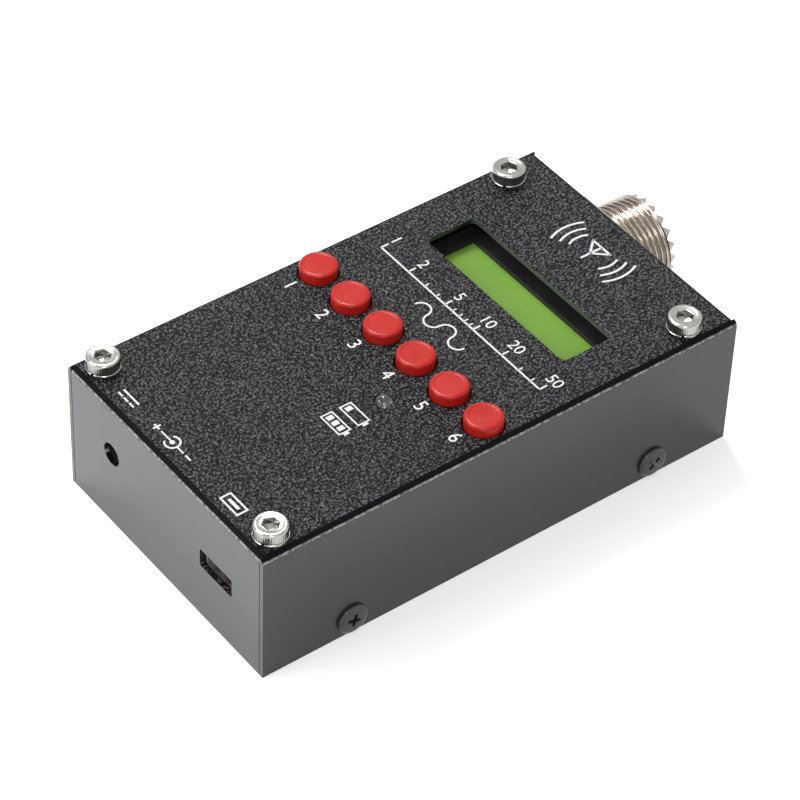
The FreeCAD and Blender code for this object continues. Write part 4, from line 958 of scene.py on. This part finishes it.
def camera_rays(tree):
    """1 for rays that should see the white background."""
    path = add(tree, "ShaderNodeLightPath")
    first = add(tree, "ShaderNodeMath", operation="MAXIMUM")
    second = add(tree, "ShaderNodeMath", operation="MAXIMUM")
    tree.links.new(path.outputs["Is Camera Ray"], first.inputs[0])
    tree.links.new(path.outputs["Is Glossy Ray"], first.inputs[1])
    tree.links.new(first.outputs[0], second.inputs[0])
    tree.links.new(path.outputs["Is Transmission Ray"], second.inputs[1])
    return second.outputs[0]


def make_world():
    world = bpy.data.worlds.new("studio")
    bpy.context.scene.world = world
    world.use_nodes = True
    tree = world.node_tree
    output = tree.nodes["World Output"]
    seen = tree.nodes["Background"]
    seen.inputs["Color"].default_value = (1, 1, 1, 1)
    seen.inputs["Strength"].default_value = 1.0
    fill = add(tree, "ShaderNodeBackground", Strength=WORLD_FILL)
    fill.inputs["Color"].default_value = (1, 1, 1, 1)
    mix = add(tree, "ShaderNodeMixShader")
    tree.links.new(camera_rays(tree), mix.inputs["Fac"])
    tree.links.new(fill.outputs[0], mix.inputs[1])
    tree.links.new(seen.outputs[0], mix.inputs[2])
    tree.links.new(mix.outputs[0], output.inputs["Surface"])


def make_floor():
    bm = bmesh.new()
    bmesh.ops.create_grid(bm, x_segments=1, y_segments=1, size=FLOOR_HALF_SIZE)
    mesh = bpy.data.meshes.new("floor")
    bm.to_mesh(mesh)
    bm.free()
    floor = bpy.data.objects.new("floor", mesh)
    bpy.context.scene.collection.objects.link(floor)
    material, tree, shader = fresh_material("paper")
    shader.inputs["Base Color"].default_value = (0.88, 0.88, 0.88, 1)
    shader.inputs["Roughness"].default_value = 0.9
    shader.inputs["Specular IOR Level"].default_value = 0.0
    glow = add(tree, "ShaderNodeEmission", Strength=FLOOR_GLOW)
    both = add(tree, "ShaderNodeAddShader")
    choose = add(tree, "ShaderNodeMixShader")
    tree.links.new(shader.outputs[0], both.inputs[0])
    tree.links.new(glow.outputs[0], both.inputs[1])
    tree.links.new(camera_rays(tree), choose.inputs["Fac"])
    tree.links.new(shader.outputs[0], choose.inputs[1])
    tree.links.new(both.outputs[0], choose.inputs[2])
    tree.links.new(choose.outputs[0], tree.nodes["Material Output"].inputs["Surface"])
    mesh.materials.append(material)


def area_light(name, place, size, power):
    data = bpy.data.lights.new(name, "AREA")
    data.shape = "RECTANGLE"
    data.size = size[0]
    data.size_y = size[1]
    data.energy = power
    lamp = bpy.data.objects.new(name, data)
    lamp.location = place
    lamp.rotation_euler = (LIGHT_TARGET - Vector(place)).to_track_quat("-Z", "Y").to_euler()
    bpy.context.scene.collection.objects.link(lamp)


CAMERA_PLACE = Vector((0.32458, -0.25869, 0.40184))
CAMERA_AZIMUTH = 51.527
CAMERA_ELEVATION = 43.149
CAMERA_ROLL = 2.299
CAMERA_LENS = 161.0
SENSOR = 36.0


def make_camera():
    data = bpy.data.cameras.new("camera")
    data.lens = CAMERA_LENS
    data.sensor_width = SENSOR
    data.clip_start = 0.01
    data.clip_end = 20.0
    camera = bpy.data.objects.new("camera", data)
    azimuth = math.radians(CAMERA_AZIMUTH)
    tilt = math.radians(90 - CAMERA_ELEVATION)
    turn = Matrix.Rotation(azimuth, 4, "Z") @ Matrix.Rotation(tilt, 4, "X")
    roll = Matrix.Rotation(math.radians(CAMERA_ROLL), 4, "Z")
    camera.matrix_world = Matrix.Translation(CAMERA_PLACE) @ turn @ roll
    bpy.context.scene.collection.objects.link(camera)
    bpy.context.scene.camera = camera


make_world()
make_floor()
for softbox in SOFTBOXES:
    area_light(*softbox)
make_camera()
bpy.context.scene.view_settings.view_transform = "Standard"
